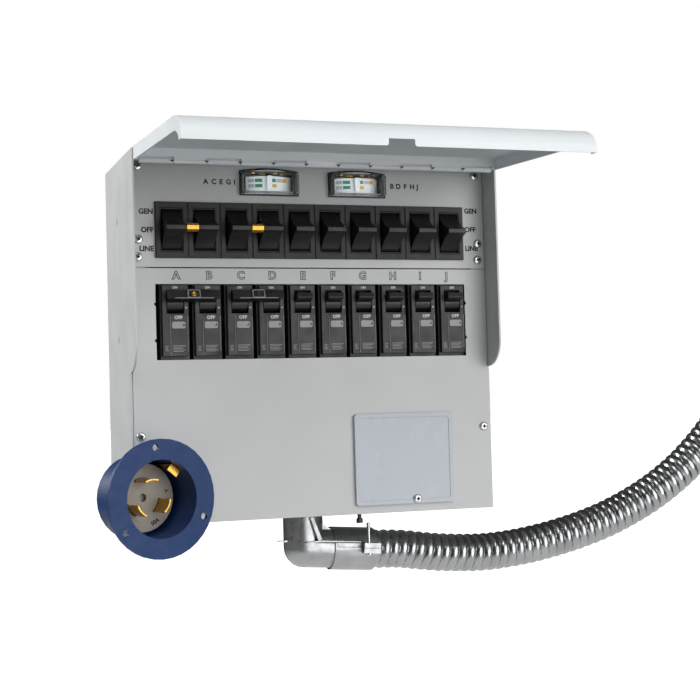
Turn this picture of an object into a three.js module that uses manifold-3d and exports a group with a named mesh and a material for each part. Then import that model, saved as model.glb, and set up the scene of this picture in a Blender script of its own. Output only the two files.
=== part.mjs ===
// A manual transfer switch: a sheet-steel cabinet that hangs on a wall and holds ten three-way
// rocker switches, ten circuit breakers, two panel meters, a hinged lid, a flexible conduit
// whip on a clamp elbow, and the flanged locking inlet that the generator cord plugs into.
//
// Millimetres, +Z up. The origin is the centre of the cabinet's back, on the wall. -Y is the front.

import * as THREE from 'three';
import { mergeVertices } from 'three/addons/utils/BufferGeometryUtils.js';
import Module from 'manifold-3d';

const wasm = await Module();
wasm.setup();

// ---------------------------------------------------------------- sizes that can be set

// Running gap between pieces that only touch, and the wider one between pieces that move.
const GAP = 0.3;
const CLEARANCE = 0.6;

// Cabinet
const CABINET_HEIGHT = 318;
const BOX_DEPTH = 113.6; // wall to the face of the front panels
const SIDE_MARGIN = 23.25; // from the row of gangs to the cabinet's side
const WING_REACH = 27.4; // roof and side wings stand out past the front panels by this
const WING_LENGTH = 188; // from the roof down to the wings' foot
const WING_ROUND = 24; // height of the rounded foot of a wing
const STEEL = 1.5; // cabinet sheet
const PANEL_STEEL = 1.2; // front panels and lid
const FLANGE = 14; // inner flanges that the front panels screw to
const WALL_HOLE_R = 3.5;
const WALL_HOLE_SPREAD = 110;
const WALL_HOLE_INSET = 30;
const KNOCKOUT_R = 16.9; // in the cabinet's floor

// Rows on the front, measured down from the roof
const METER_DROP = 22.8;
const SWITCH_DROP = 65.8;
const SEAM_DROP = 98.2;
const WINDOW_DROP = 112.5; // top edge of the breaker window
const WINDOW_HEIGHT = 65.3;
const SEAM_GAP = 0.8;

// Gangs
const GANGS = ['a', 'b', 'c', 'd', 'e', 'f', 'g', 'h', 'i', 'j'];
const TIED_PAIRS = [[0, 1], [2, 3]]; // gangs that switch a two-pole circuit together
const BREAKER_WIDTH = 25.4;
const BREAKER_SPACING = 3.2;

// Rocker switches
const BEZEL_HEIGHT = 48.7;
const BEZEL_THICK = 2;
const ROCKER_WIDTH = 17;
const ROCKER_BASE_R = 17.5; // round base that turns in the switch body
const ROCKER_BASE_DEPTH = 8;
const ROCKER_REACH = 23; // ridge, from the pivot
const RIDGE_HALF = 2.2;
const SWITCH_BODY_HEIGHT = 41;
const SWITCH_BODY_DEPTH = 42;
const TIE_BAR_R = 3.9;

// Breakers
const NOSE_WIDTH = 22.5;
const NOSE_PROUD = 0.8; // of the panel's face
const NOSE_TOP_GAP = 1;
const NOSE_FOOT_GAP = 3.2;
const BREAKER_OFFSET = 2; // the breaker row sits this far right of centre
const BREAKER_SHOULDER = 4; // full-width body starts this far behind the panel's face
const BREAKER_OVERHANG = 9; // full-width body above and below the window
const BREAKER_DEPTH = 60;
const HANDLE_DROP = 15.5; // pivot, below the window's top edge
const HANDLE_PIVOT_DEPTH = 9; // behind the nose
const BARREL_R = 9.4;
const HANDLE_WIDTH = 14.4;
const HANDLE_REACH = 18.3;
const HANDLE_THICK = 5.4;
const HANDLE_TILT = THREE.MathUtils.degToRad(17); // up, when on
const SLOT_HALF = 10; // opening in the nose, above and below the pivot
const TIE_THICK = 1.6;
const TIE_HALF_HEIGHT = 4;
const RAIL_HEIGHT = 34;
const RAIL_STEEL = 1.5;

// Panel meters
const METER_SPREAD = 40.8; // each meter from the centre line
const LENS_HALF_WIDTH = 28.1;
const LENS_FOOT = -12.4;
const LENS_SHOULDER = 9.9;
const LENS_CROWN = 12.4;
const LENS_FLANGE = 2.2;
const LENS_FLANGE_THICK = 1.4;
const LENS_DEPTH = 9;
const LENS_WALL = 1.3;
const DIAL_HALF_WIDTH = 23.4;
const DIAL_FOOT = -8.5;
const DIAL_TOP = 6;
const DIAL_PROUD = 0.6;
const METER_DEPTH = 44;
const NEEDLE_PIVOT_DEPTH = 34;
const NEEDLE_THICK = 0.8;
const NEEDLE_STANDOFF = 2.7; // pointer in front of the dial

// Lid and its hinge
const LID_REACH = 192; // from the hinge pin to the lid's front
const LID_RISE = 11.3; // outer face above the hinge pin
const LID_LIP = 8.8; // front skirt hangs this much lower than the side skirts
const LID_INSET = 1; // each side, from the cabinet's side
const LID_ROLL_DEPTH = 27; // the top rolls down into the front skirt over this depth
const LID_ROLL_DROP = 17.3;
const LID_HEEL = 19; // side skirts drop to the front skirt's foot over this depth
const LID_SKIRT = 8; // depth of the side skirts' foot at the front
const LID_OPEN_DIP = THREE.MathUtils.degToRad(2.8); // front edge below level, as it stands open
const NOTCH_WIDTH = 21;
const NOTCH_HEIGHT = 5.5;
const NOTCH_ROUND = 2.2;
const NOTCH_OFFSET = 2.3;
const HINGE_DROP = 10.8; // pin, below the roof
const KNUCKLE_R = 2.5;
const KNUCKLE_COUNT = 11;
const HINGE_MARGIN = 4; // each end
const PIN_R = 1.2;
const LEAF_STEEL = 1.2;

// Access plate on the lower panel
const PLATE_LEFT = 32.1;
const PLATE_WIDTH = 94.4;
const PLATE_FOOT = 7.4; // above the cabinet's bottom edge
const PLATE_HEIGHT = 81.6;
const PLATE_THICK = 3;
const PLATE_ROUND = 3;
const PLATE_LAP = 10; // over the opening, each side

// Conduit whip and its elbow
const CONDUIT_OD = 36;
const CONDUIT_SIDES = 12;
const ELBOW_FROM_WALL = 55;
const ELBOW_DROP = 32.4; // bend centre, below the cabinet
const ELBOW_DIP = THREE.MathUtils.degToRad(4.2); // the long leg points this much below level
const ELBOW_NECK_R = 18.25;
const ELBOW_BORE_R = 14.2;
const ELBOW_LEG = 66; // bend centre to mouth
const CLAMP_WALL = 1.6;
const CLAMP_START = 25; // along the leg
const SOCKET_DEPTH = 20; // conduit inside the clamp
const SPLIT_RISE = 2.6; // clamp's split above the leg's axis
const EAR_LENGTH = 16;
const EAR_OUT = 8;
const EAR_THICK = 4.6;
const NIPPLE_R = 16.5;
const NIPPLE_LENGTH = 11;
const LOCKNUT_R = 22.5;
const LOCKNUT_THICK = 3.4;
const CONNECTOR_WALL = 2.2;
const CONNECTOR_LENGTH = 30;
const CONNECTOR_SOCKET = 16;
const CONNECTOR_NIPPLE = 10;

// Route of the conduit's centre line past the elbow's mouth, as x and z
const CONDUIT_ROUTE = [
  [95, -198], [115, -200.9], [130, -202.9], [145.5, -204.4], [166, -205.6], [181, -205.8],
  [195.5, -205.2], [219, -202.9], [243.3, -199.2], [266.2, -194.5], [289.5, -188.6],
  [313.1, -181.2], [336, -172], [358, -161.5], [379, -149.3], [399, -135.5], [417, -120.3],
  [434, -103.7], [449, -86], [461.5, -67.5], [470.5, -54],
];
const CONDUIT_STEPS = 24;

// Flanged locking inlet, which stands in front of the cabinet's lower left corner
const INLET_PLACE = new THREE.Vector3(-152.7, -172, -133.7); // centre of the flange's face
const INLET_TURN = THREE.MathUtils.degToRad(18.4); // about the upright, towards +X
const INLET_FLANGE_R = 49;
const INLET_FLANGE_THICK = 3.6;
const INLET_HOLE_R = 2.9;
const INLET_HOLE_CIRCLE_R = 42.2;
const INLET_HOLE_ANGLES = [97, 217, 337]; // degrees round the face, from +X
const CUP_R = 32.3;
const CUP_WALL = 3;
const CUP_DEPTH = 44;
const INSERT_R = 28.7;
const INSERT_DEPTH = 33; // insert's face behind the flange's face
const INSERT_HOLE_R = 3.4;
const BLADE_CIRCLE_R = 15.5;
const BLADE_THICK = 1.6;
const BLADE_SWEEP = THREE.MathUtils.degToRad(46);
const BLADE_REACH = 19;
const BLADE_FOOT = 4; // set into the insert
const BLADE_ANGLES = { top: 95, right: -28, left: 222 };
const CLIP_ANGLE = 52;
const CLIP_WIDTH = 11;
const CLIP_REACH = 22;

// ---------------------------------------------------------------- sizes that follow from them

const PITCH = BREAKER_WIDTH + BREAKER_SPACING;
const CABINET_WIDTH = GANGS.length * PITCH + 2 * SIDE_MARGIN;
const TOP = CABINET_HEIGHT / 2;
const BOTTOM = -CABINET_HEIGHT / 2;
const SIDE = CABINET_WIDTH / 2;
const FACE = -BOX_DEPTH; // y of the front panels' face
const BROW = FACE - WING_REACH; // y of the roof's and wings' front edge
const PANEL_BACK = FACE + PANEL_STEEL;
const FLANGE_FRONT = PANEL_BACK + GAP;
const PANEL_HALF = SIDE - STEEL - GAP;
const WING_FOOT = TOP - WING_LENGTH;
const METER_Z = TOP - METER_DROP;
const SWITCH_Z = TOP - SWITCH_DROP;
const SEAM_Z = TOP - SEAM_DROP;
const WINDOW_TOP = TOP - WINDOW_DROP;
const WINDOW_FOOT = WINDOW_TOP - WINDOW_HEIGHT;
const BANK_HALF = (GANGS.length / 2) * PITCH;
const ROW_HALF = ((GANGS.length - 1) / 2) * PITCH + BREAKER_WIDTH / 2; // outer bodies' sides
const HINGE_Y = BROW - GAP - LEAF_STEEL / 2;
const HINGE_Z = TOP - HINGE_DROP;
const HINGE_HALF = SIDE - STEEL - HINGE_MARGIN;
const KNUCKLE_LENGTH = (2 * HINGE_HALF) / KNUCKLE_COUNT;
const KNUCKLE_BORE_R = PIN_R + GAP;
const LID_HALF = SIDE - LID_INSET;
const NOSE_Y = FACE - NOSE_PROUD;
const HANDLE_Y = NOSE_Y + HANDLE_PIVOT_DEPTH;
const HANDLE_Z = WINDOW_TOP - HANDLE_DROP;
const RAIL_FRONT = FACE + BREAKER_DEPTH + GAP;
const CLAMP_BORE_R = CONDUIT_OD / 2 + GAP;
const CLAMP_R = CLAMP_BORE_R + CLAMP_WALL;
const ELBOW_Y = -ELBOW_FROM_WALL;
const ELBOW_Z = BOTTOM - ELBOW_DROP;

const gangX = (i) => (i - (GANGS.length - 1) / 2) * PITCH;
const breakerX = (i) => gangX(i) + BREAKER_OFFSET;

// ---------------------------------------------------------------- finishes

const finish = (color, roughness, metalness, extra = {}) =>
  new THREE.MeshStandardMaterial({ color, roughness, metalness, ...extra });

const FINISH = {
  cabinetPaint: () => finish(0xb9bcbc, 0.5, 0.1),
  lidPaint: () => finish(0xe6eaec, 0.45, 0.1),
  platePaint: () => finish(0xbfc5cd, 0.3, 0.1),
  zinc: () => finish(0xa9abac, 0.35, 0.9),
  diecast: () => finish(0x8f9091, 0.4, 0.85),
  blackPlastic: () => finish(0x151515, 0.45, 0),
  bezelPlastic: () => finish(0x2c2b2a, 0.5, 0),
  breakerPlastic: () => finish(0x4a4a4a, 0.55, 0),
  clearPlastic: () => finish(0xe8eef0, 0.08, 0, { transparent: true, opacity: 0.35 }),
  dialWhite: () => finish(0xeef1f2, 0.6, 0),
  brass: () => finish(0xc59a3c, 0.3, 0.9),
  inletBlue: () => finish(0x1f3f70, 0.4, 0),
  insertPlastic: () => finish(0x9a9388, 0.6, 0),
};

// ---------------------------------------------------------------- shapes and solids

// Closed mesh to solid: vertices are merged on position alone.
function solid(geometry) {
  const bare = geometry.clone();
  bare.deleteAttribute('normal');
  bare.deleteAttribute('uv');
  const merged = mergeVertices(bare, 1e-4);
  return new wasm.Manifold(new wasm.Mesh({
    numProp: 3,
    vertProperties: new Float32Array(merged.attributes.position.array),
    triVerts: new Uint32Array(merged.index.array),
  }));
}

// Solid to a geometry with flat faces.
function geometryOf(body) {
  const mesh = body.getMesh();
  const geometry = new THREE.BufferGeometry();
  geometry.setAttribute('position', new THREE.BufferAttribute(mesh.vertProperties, 3));
  geometry.setIndex(new THREE.BufferAttribute(mesh.triVerts, 1));
  geometry.computeVertexNormals();
  return geometry;
}

const join = (...bodies) => bodies.reduce((all, next) => all.add(next));
const cut = (body, ...cutters) => cutters.reduce((left, next) => left.subtract(next), body);

// Solid turned and moved by a matrix.
function placed(geometry, matrix) {
  return solid(geometry.clone().applyMatrix4(matrix));
}

// Box between two corners.
function block(x0, x1, y0, y1, z0, z1) {
  const geometry = new THREE.BoxGeometry(x1 - x0, y1 - y0, z1 - z0);
  geometry.translate((x0 + x1) / 2, (y0 + y1) / 2, (z0 + z1) / 2);
  return solid(geometry);
}

// Outline in x and z, from y0 (front) to y1 (back).
function plate(outline, y0, y1, curveSegments = 5) {
  const geometry = new THREE.ExtrudeGeometry(outline, { depth: y1 - y0, bevelEnabled: false, curveSegments });
  geometry.rotateX(Math.PI / 2);
  geometry.translate(0, y1, 0);
  return solid(geometry);
}

// Outline in y and z, from x0 to x1.
function slab(outline, x0, x1, curveSegments = 6) {
  const geometry = new THREE.ExtrudeGeometry(outline, { depth: x1 - x0, bevelEnabled: false, curveSegments });
  geometry.applyMatrix4(new THREE.Matrix4().set(0, 0, 1, x0, 1, 0, 0, 0, 0, 1, 0, 0, 0, 0, 0, 1));
  return solid(geometry);
}

// Outline in x and y, from z0 to z1.
function layer(outline, z0, z1, curveSegments = 5) {
  const geometry = new THREE.ExtrudeGeometry(outline, { depth: z1 - z0, bevelEnabled: false, curveSegments });
  geometry.translate(0, 0, z0);
  return solid(geometry);
}

// Round bar along an axis, from one end's centre.
function rod(axis, radius, length, at, sides = 24, farRadius = radius) {
  const geometry = new THREE.CylinderGeometry(farRadius, radius, length, sides);
  geometry.translate(0, length / 2, 0);
  const turn = new THREE.Quaternion().setFromUnitVectors(new THREE.Vector3(0, 1, 0), axis);
  geometry.applyQuaternion(turn);
  geometry.translate(at.x, at.y, at.z);
  return solid(geometry);
}

function ball(radius, at, sides = 20) {
  const geometry = new THREE.SphereGeometry(radius, sides, sides / 2);
  geometry.translate(at.x, at.y, at.z);
  return solid(geometry);
}

function polygon(points) {
  return new THREE.Shape(points.map(([u, v]) => new THREE.Vector2(u, v)));
}

function rectangle(u0, u1, v0, v1, r = 0) {
  if (r === 0) {
    return polygon([[u0, v0], [u1, v0], [u1, v1], [u0, v1]]);
  }
  const shape = new THREE.Shape();
  shape.moveTo(u0 + r, v0);
  shape.lineTo(u1 - r, v0);
  shape.absarc(u1 - r, v0 + r, r, -Math.PI / 2, 0, false);
  shape.lineTo(u1, v1 - r);
  shape.absarc(u1 - r, v1 - r, r, 0, Math.PI / 2, false);
  shape.lineTo(u0 + r, v1);
  shape.absarc(u0 + r, v1 - r, r, Math.PI / 2, Math.PI, false);
  shape.lineTo(u0, v0 + r);
  shape.absarc(u0 + r, v0 + r, r, Math.PI, Math.PI * 1.5, false);
  return shape;
}

function disc(u, v, r) {
  const shape = new THREE.Shape();
  shape.absarc(u, v, r, 0, Math.PI * 2, false);
  return shape;
}

const AXIS_X = new THREE.Vector3(1, 0, 0);
const AXIS_Y = new THREE.Vector3(0, 1, 0);
const AXIS_Z = new THREE.Vector3(0, 0, 1);

// ---------------------------------------------------------------- assembly

const assembly = new THREE.Group();

function add(name, body, material, parent = assembly) {
  const mesh = new THREE.Mesh(geometryOf(body), material);
  mesh.name = name;
  parent.add(mesh);
  return mesh;
}

function groupAt(x, y, z, parent = assembly) {
  const group = new THREE.Group();
  group.position.set(x, y, z);
  parent.add(group);
  return group;
}

// ---- cabinet

// Side plate with its wing: straight front edge above, rounded foot, then set back below.
function sideOutline() {
  const shape = new THREE.Shape();
  shape.moveTo(0, BOTTOM);
  shape.lineTo(0, TOP);
  shape.lineTo(BROW, TOP);
  shape.lineTo(BROW, WING_FOOT + WING_ROUND);
  shape.absellipse(FACE, WING_FOOT + WING_ROUND, WING_REACH, WING_ROUND, Math.PI, Math.PI * 1.5, false);
  shape.lineTo(PANEL_BACK, WING_FOOT);
  shape.lineTo(PANEL_BACK, BOTTOM);
  return shape;
}

function cabinetBox() {
  const back = block(-SIDE, SIDE, -STEEL, 0, BOTTOM, TOP);
  const roof = block(-SIDE, SIDE, BROW, 0, TOP - STEEL, TOP);
  const brow = block(-SIDE, SIDE, BROW, BROW + STEEL, HINGE_Z + KNUCKLE_R + CLEARANCE, TOP);
  const floor = block(-SIDE, SIDE, FLANGE_FRONT, 0, BOTTOM, BOTTOM + STEEL);
  const pieces = [back, roof, brow, floor];
  for (const s of [-1, 1]) {
    const outer = s * SIDE;
    const inner = s * (SIDE - STEEL);
    const reach = s * (SIDE - STEEL - FLANGE);
    pieces.push(slab(sideOutline(), Math.min(outer, inner), Math.max(outer, inner)));
    pieces.push(block(
      Math.min(inner, reach), Math.max(inner, reach), FLANGE_FRONT, FLANGE_FRONT + STEEL, BOTTOM, TOP,
    ));
  }
  const through = 2 * STEEL;
  const wallHole = (x, z) => rod(AXIS_Y, WALL_HOLE_R, 2 * through, new THREE.Vector3(x, -through, z), 12);
  return cut(
    join(...pieces),
    wallHole(-WALL_HOLE_SPREAD, TOP - WALL_HOLE_INSET),
    wallHole(WALL_HOLE_SPREAD, TOP - WALL_HOLE_INSET),
    wallHole(-WALL_HOLE_SPREAD, BOTTOM + WALL_HOLE_INSET),
    wallHole(WALL_HOLE_SPREAD, BOTTOM + WALL_HOLE_INSET),
    rod(AXIS_Z, KNOCKOUT_R, 2 * through, new THREE.Vector3(0, ELBOW_Y, BOTTOM - through), 28),
  );
}

function upperPanel() {
  const sheet = block(-PANEL_HALF, PANEL_HALF, FACE, PANEL_BACK, SEAM_Z + SEAM_GAP / 2, TOP - STEEL - GAP);
  const y0 = FACE - 1;
  const y1 = PANEL_BACK + 1;
  const half = SWITCH_BODY_HEIGHT / 2 + GAP;
  const bank = block(-ROW_HALF - GAP, ROW_HALF + GAP, y0, y1, SWITCH_Z - half, SWITCH_Z + half);
  const meters = [-1, 1].map((s) => block(
    s * METER_SPREAD - DIAL_HALF_WIDTH - 1, s * METER_SPREAD + DIAL_HALF_WIDTH + 1, y0, y1,
    METER_Z + DIAL_FOOT - 1, METER_Z + LENS_SHOULDER - LENS_FLANGE,
  ));
  return cut(sheet, bank, ...meters);
}

const WINDOW_LEFT = -ROW_HALF - BREAKER_OFFSET / 2 - 1;
const WINDOW_RIGHT = ROW_HALF + BREAKER_OFFSET / 2 + 1;
const PLATE_Z = BOTTOM + PLATE_FOOT;

function lowerPanel() {
  const sheet = block(-PANEL_HALF, PANEL_HALF, FACE, PANEL_BACK, BOTTOM, SEAM_Z - SEAM_GAP / 2);
  const y0 = FACE - 1;
  const y1 = PANEL_BACK + 1;
  const window = block(WINDOW_LEFT, WINDOW_RIGHT, y0, y1, WINDOW_FOOT, WINDOW_TOP);
  const notches = [];
  for (const x of [WINDOW_LEFT, WINDOW_RIGHT]) {
    for (const share of [0.265, 0.745]) {
      const at = new THREE.Vector3(x, y0, WINDOW_TOP - share * WINDOW_HEIGHT);
      notches.push(rod(AXIS_Y, 1.4, y1 - y0, at, 12));
    }
  }
  const access = block(
    PLATE_LEFT + PLATE_LAP, PLATE_LEFT + PLATE_WIDTH - PLATE_LAP, y0, y1,
    PLATE_Z + PLATE_LAP, PLATE_Z + PLATE_HEIGHT - PLATE_LAP,
  );
  return cut(sheet, window, ...notches, access);
}

function accessPlate() {
  const outline = (inset) => rectangle(
    PLATE_LEFT + inset, PLATE_LEFT + PLATE_WIDTH - inset,
    PLATE_Z + inset, PLATE_Z + PLATE_HEIGHT - inset, PLATE_ROUND,
  );
  const back = FACE - GAP;
  const rim = plate(outline(0), back - PLATE_THICK, back);
  const recess = plate(outline(4), back - PLATE_THICK - 1, back - PLATE_THICK + 0.6);
  return cut(rim, recess);
}

add('cabinet_box', cabinetBox(), FINISH.cabinetPaint());
add('upper_panel', upperPanel(), FINISH.cabinetPaint());
add('lower_panel', lowerPanel(), FINISH.cabinetPaint());
add('access_plate', accessPlate(), FINISH.platePaint());

// ---- hinge and lid

// Which knuckles are the fixed leaf's: every other one, from both ends.
const fixedKnuckle = (k) => k % 2 === 0;
const knuckleStart = (k) => -HINGE_HALF + k * KNUCKLE_LENGTH;

function knuckle(k) {
  const length = KNUCKLE_LENGTH - CLEARANCE;
  return rod(AXIS_X, KNUCKLE_R, length, new THREE.Vector3(knuckleStart(k) + CLEARANCE / 2, 0, 0), 10);
}

const pinBore = () => rod(AXIS_X, KNUCKLE_BORE_R, 2 * SIDE, new THREE.Vector3(-SIDE, 0, 0), 8);

// Space that the other half's knuckles need, in front of or behind the pin.
function knuckleSpace(wanted) {
  const spaces = [];
  for (let k = 0; k < KNUCKLE_COUNT; k += 1) {
    if (fixedKnuckle(k) === wanted) {
      const x0 = knuckleStart(k) - CLEARANCE / 2;
      const r = KNUCKLE_R + CLEARANCE;
      spaces.push(block(x0, x0 + KNUCKLE_LENGTH + CLEARANCE, -r, r, -r - LID_LIP, r));
    }
  }
  return spaces;
}

// Fixed leaf, about the pin: a strip that stands up in front of the brow.
function hingeLeaf() {
  const strip = cut(
    block(-HINGE_HALF, HINGE_HALF, -LEAF_STEEL / 2, LEAF_STEEL / 2, 0, HINGE_DROP - STEEL),
    ...knuckleSpace(false),
  );
  const knuckles = [];
  for (let k = 0; k < KNUCKLE_COUNT; k += 1) {
    if (fixedKnuckle(k)) {
      knuckles.push(knuckle(k));
    }
  }
  return cut(join(strip, ...knuckles), pinBore());
}

// Side view of the lid, about the pin and level: flat top that rolls down into the front skirt.
function lidProfile(inset, foot) {
  const back = inset === 0 ? -KNUCKLE_R + PANEL_STEEL : -KNUCKLE_R;
  const rollY = -LID_REACH + LID_ROLL_DEPTH;
  const rollZ = LID_RISE - LID_ROLL_DROP;
  const shape = new THREE.Shape();
  shape.moveTo(back, foot);
  shape.lineTo(back, LID_RISE - inset);
  shape.lineTo(rollY, LID_RISE - inset);
  shape.absellipse(
    rollY, rollZ, LID_ROLL_DEPTH - inset, LID_ROLL_DROP - inset, Math.PI / 2, Math.PI, false,
  );
  shape.lineTo(-LID_REACH + inset, foot);
  return shape;
}

// What is left open under the side skirts: level at the pin's height, then curved down in front.
function underSkirts() {
  const heel = -LID_REACH + LID_SKIRT;
  const shape = new THREE.Shape();
  shape.moveTo(1, -LID_LIP - 1);
  shape.lineTo(1, 0);
  shape.lineTo(heel + LID_HEEL, 0);
  shape.absellipse(heel + LID_HEEL, -LID_LIP, LID_HEEL, LID_LIP, Math.PI / 2, Math.PI, false);
  shape.lineTo(heel, -LID_LIP - 1);
  return slab(shape, -SIDE, SIDE);
}

// Finger notch in the front skirt, with its two lower corners rounded off.
function fingerNotch() {
  const half = NOTCH_WIDTH / 2;
  const top = NOTCH_HEIGHT - LID_LIP;
  const shape = new THREE.Shape();
  shape.moveTo(-half - NOTCH_ROUND, -LID_LIP - 1);
  shape.lineTo(half + NOTCH_ROUND, -LID_LIP - 1);
  shape.lineTo(half + NOTCH_ROUND, -LID_LIP);
  shape.quadraticCurveTo(half, -LID_LIP, half, -LID_LIP + NOTCH_ROUND);
  shape.lineTo(half, top);
  shape.lineTo(-half, top);
  shape.lineTo(-half, -LID_LIP + NOTCH_ROUND);
  shape.quadraticCurveTo(-half, -LID_LIP, -half - NOTCH_ROUND, -LID_LIP);
  const cutter = geometryOf(plate(shape, -LID_REACH - 1, -LID_REACH + LID_SKIRT));
  return placed(cutter, new THREE.Matrix4().makeTranslation(NOTCH_OFFSET, 0, 0));
}

// Lid, about the pin and level: a tray with four skirts, whose rear skirt ends in knuckles.
function lidTray() {
  const shell = cut(
    slab(lidProfile(0, -LID_LIP), -LID_HALF, LID_HALF),
    slab(lidProfile(PANEL_STEEL, -LID_LIP - 1), -LID_HALF + PANEL_STEEL, LID_HALF - PANEL_STEEL),
    underSkirts(),
    fingerNotch(),
    ...knuckleSpace(true),
  );
  const knuckles = [];
  for (let k = 0; k < KNUCKLE_COUNT; k += 1) {
    if (!fixedKnuckle(k)) {
      knuckles.push(knuckle(k));
    }
  }
  return cut(join(shell, ...knuckles), pinBore());
}

const hinge = groupAt(0, HINGE_Y, HINGE_Z);
add('hinge_leaf', hingeLeaf(), FINISH.zinc(), hinge);
add(
  'hinge_pin',
  rod(AXIS_X, PIN_R, 2 * HINGE_HALF, new THREE.Vector3(-HINGE_HALF, 0, 0), 8),
  FINISH.zinc(),
  hinge,
);
const lid = add('lid', lidTray(), FINISH.lidPaint(), hinge);
lid.rotation.x = LID_OPEN_DIP;

// ---- rocker switches

function switchBank() {
  const bezelBack = FACE - GAP;
  const half = BEZEL_HEIGHT / 2;
  const pieces = [block(-BANK_HALF, BANK_HALF, bezelBack - BEZEL_THICK, bezelBack, SWITCH_Z - half, SWITCH_Z + half)];
  const pockets = [];
  GANGS.forEach((_, i) => {
    const x = gangX(i);
    pieces.push(block(
      x - BREAKER_WIDTH / 2, x + BREAKER_WIDTH / 2, bezelBack - BEZEL_THICK / 2, FACE + SWITCH_BODY_DEPTH,
      SWITCH_Z - SWITCH_BODY_HEIGHT / 2, SWITCH_Z + SWITCH_BODY_HEIGHT / 2,
    ));
    const halfWidth = ROCKER_WIDTH / 2 + CLEARANCE;
    pockets.push(slab(disc(FACE, SWITCH_Z, ROCKER_BASE_R + CLEARANCE), x - halfWidth, x + halfWidth, 10));
  });
  return cut(join(...pieces), ...pockets);
}

// Rocker, about its pivot: a round base, and hollow faces that rise to a flat ridge.
function rockerOutline() {
  const shape = new THREE.Shape();
  const baseAngle = Math.asin(ROCKER_BASE_DEPTH / ROCKER_BASE_R);
  const waist = [-ROCKER_REACH * 0.39, ROCKER_BASE_R * 0.34];
  shape.moveTo(0, ROCKER_BASE_R);
  shape.quadraticCurveTo(waist[0], waist[1], -ROCKER_REACH + 0.5, RIDGE_HALF);
  shape.lineTo(-ROCKER_REACH, RIDGE_HALF - 0.5);
  shape.lineTo(-ROCKER_REACH, -RIDGE_HALF + 0.5);
  shape.lineTo(-ROCKER_REACH + 0.5, -RIDGE_HALF);
  shape.quadraticCurveTo(waist[0], -waist[1], 0, -ROCKER_BASE_R);
  shape.absarc(0, 0, ROCKER_BASE_R, -Math.PI / 2, -Math.PI / 2 + baseAngle, false);
  shape.absarc(0, 0, ROCKER_BASE_R, Math.PI / 2 - baseAngle, Math.PI / 2, false);
  return shape;
}

// Hexagonal brass bar between the ridges of two rockers.
function rockerTie() {
  const length = PITCH - ROCKER_WIDTH - 2 * GAP;
  const at = new THREE.Vector3(-length / 2, -ROCKER_REACH + TIE_BAR_R * 0.8, 0);
  return rod(AXIS_X, TIE_BAR_R, length, at, 6);
}

add('switch_bank', switchBank(), FINISH.bezelPlastic());
GANGS.forEach((letter, i) => {
  const pivot = groupAt(gangX(i), FACE, SWITCH_Z);
  const rocker = slab(rockerOutline(), -ROCKER_WIDTH / 2, ROCKER_WIDTH / 2);
  add(`rocker_${letter}`, rocker, FINISH.blackPlastic(), pivot);
});
for (const [i, k] of TIED_PAIRS) {
  const middle = groupAt((gangX(i) + gangX(k)) / 2, FACE, SWITCH_Z);
  add(`rocker_tie_${GANGS[i]}${GANGS[k]}`, rockerTie(), FINISH.brass(), middle);
}

// ---- breakers on their rail

function breaker(x) {
  const body = block(
    x - BREAKER_WIDTH / 2, x + BREAKER_WIDTH / 2, FACE + BREAKER_SHOULDER, FACE + BREAKER_DEPTH,
    WINDOW_FOOT - BREAKER_OVERHANG, WINDOW_TOP + BREAKER_OVERHANG,
  );
  const nose = block(
    x - NOSE_WIDTH / 2, x + NOSE_WIDTH / 2, NOSE_Y, FACE + BREAKER_SHOULDER + 1,
    WINDOW_FOOT + NOSE_FOOT_GAP, WINDOW_TOP - NOSE_TOP_GAP,
  );
  const halfWidth = HANDLE_WIDTH / 2 + GAP + 0.1;
  const pocket = slab(disc(HANDLE_Y, HANDLE_Z, BARREL_R + CLEARANCE), x - halfWidth, x + halfWidth, 9);
  const mouth = block(
    x - halfWidth, x + halfWidth, NOSE_Y - 1, HANDLE_Y - HANDLE_PIVOT_DEPTH / 3,
    HANDLE_Z - SLOT_HALF, HANDLE_Z + SLOT_HALF,
  );
  return cut(join(body, nose), pocket, mouth);
}

// Handle, about its pivot and pointing straight out: a round barrel with a tapered lever.
function breakerHandle() {
  const barrel = slab(disc(0, 0, BARREL_R), -HANDLE_WIDTH / 2, HANDLE_WIDTH / 2, 8);
  const half = HANDLE_THICK / 2;
  const lever = slab(
    polygon([
      [0, half + 1], [-HANDLE_REACH + 1, half], [-HANDLE_REACH, half - 0.6],
      [-HANDLE_REACH, -half + 0.6], [-HANDLE_REACH + 1, -half], [0, -half - 1],
    ]),
    -HANDLE_WIDTH / 2, HANDLE_WIDTH / 2,
  );
  return join(barrel, lever);
}

// Bar that lies across two handles, with a clamp block between them.
function handleTie() {
  const front = -HANDLE_REACH - GAP;
  const half = PITCH / 2 + HANDLE_WIDTH / 2 + 1.5;
  const bar = block(-half, half, front - TIE_THICK, front, -TIE_HALF_HEIGHT, TIE_HALF_HEIGHT);
  const between = (PITCH - HANDLE_WIDTH) / 2 - CLEARANCE;
  const clamp = block(
    -between, between, front - TIE_THICK - 1, front + HANDLE_REACH / 3,
    -TIE_HALF_HEIGHT - 0.3, TIE_HALF_HEIGHT + 0.3,
  );
  return join(bar, clamp);
}

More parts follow.
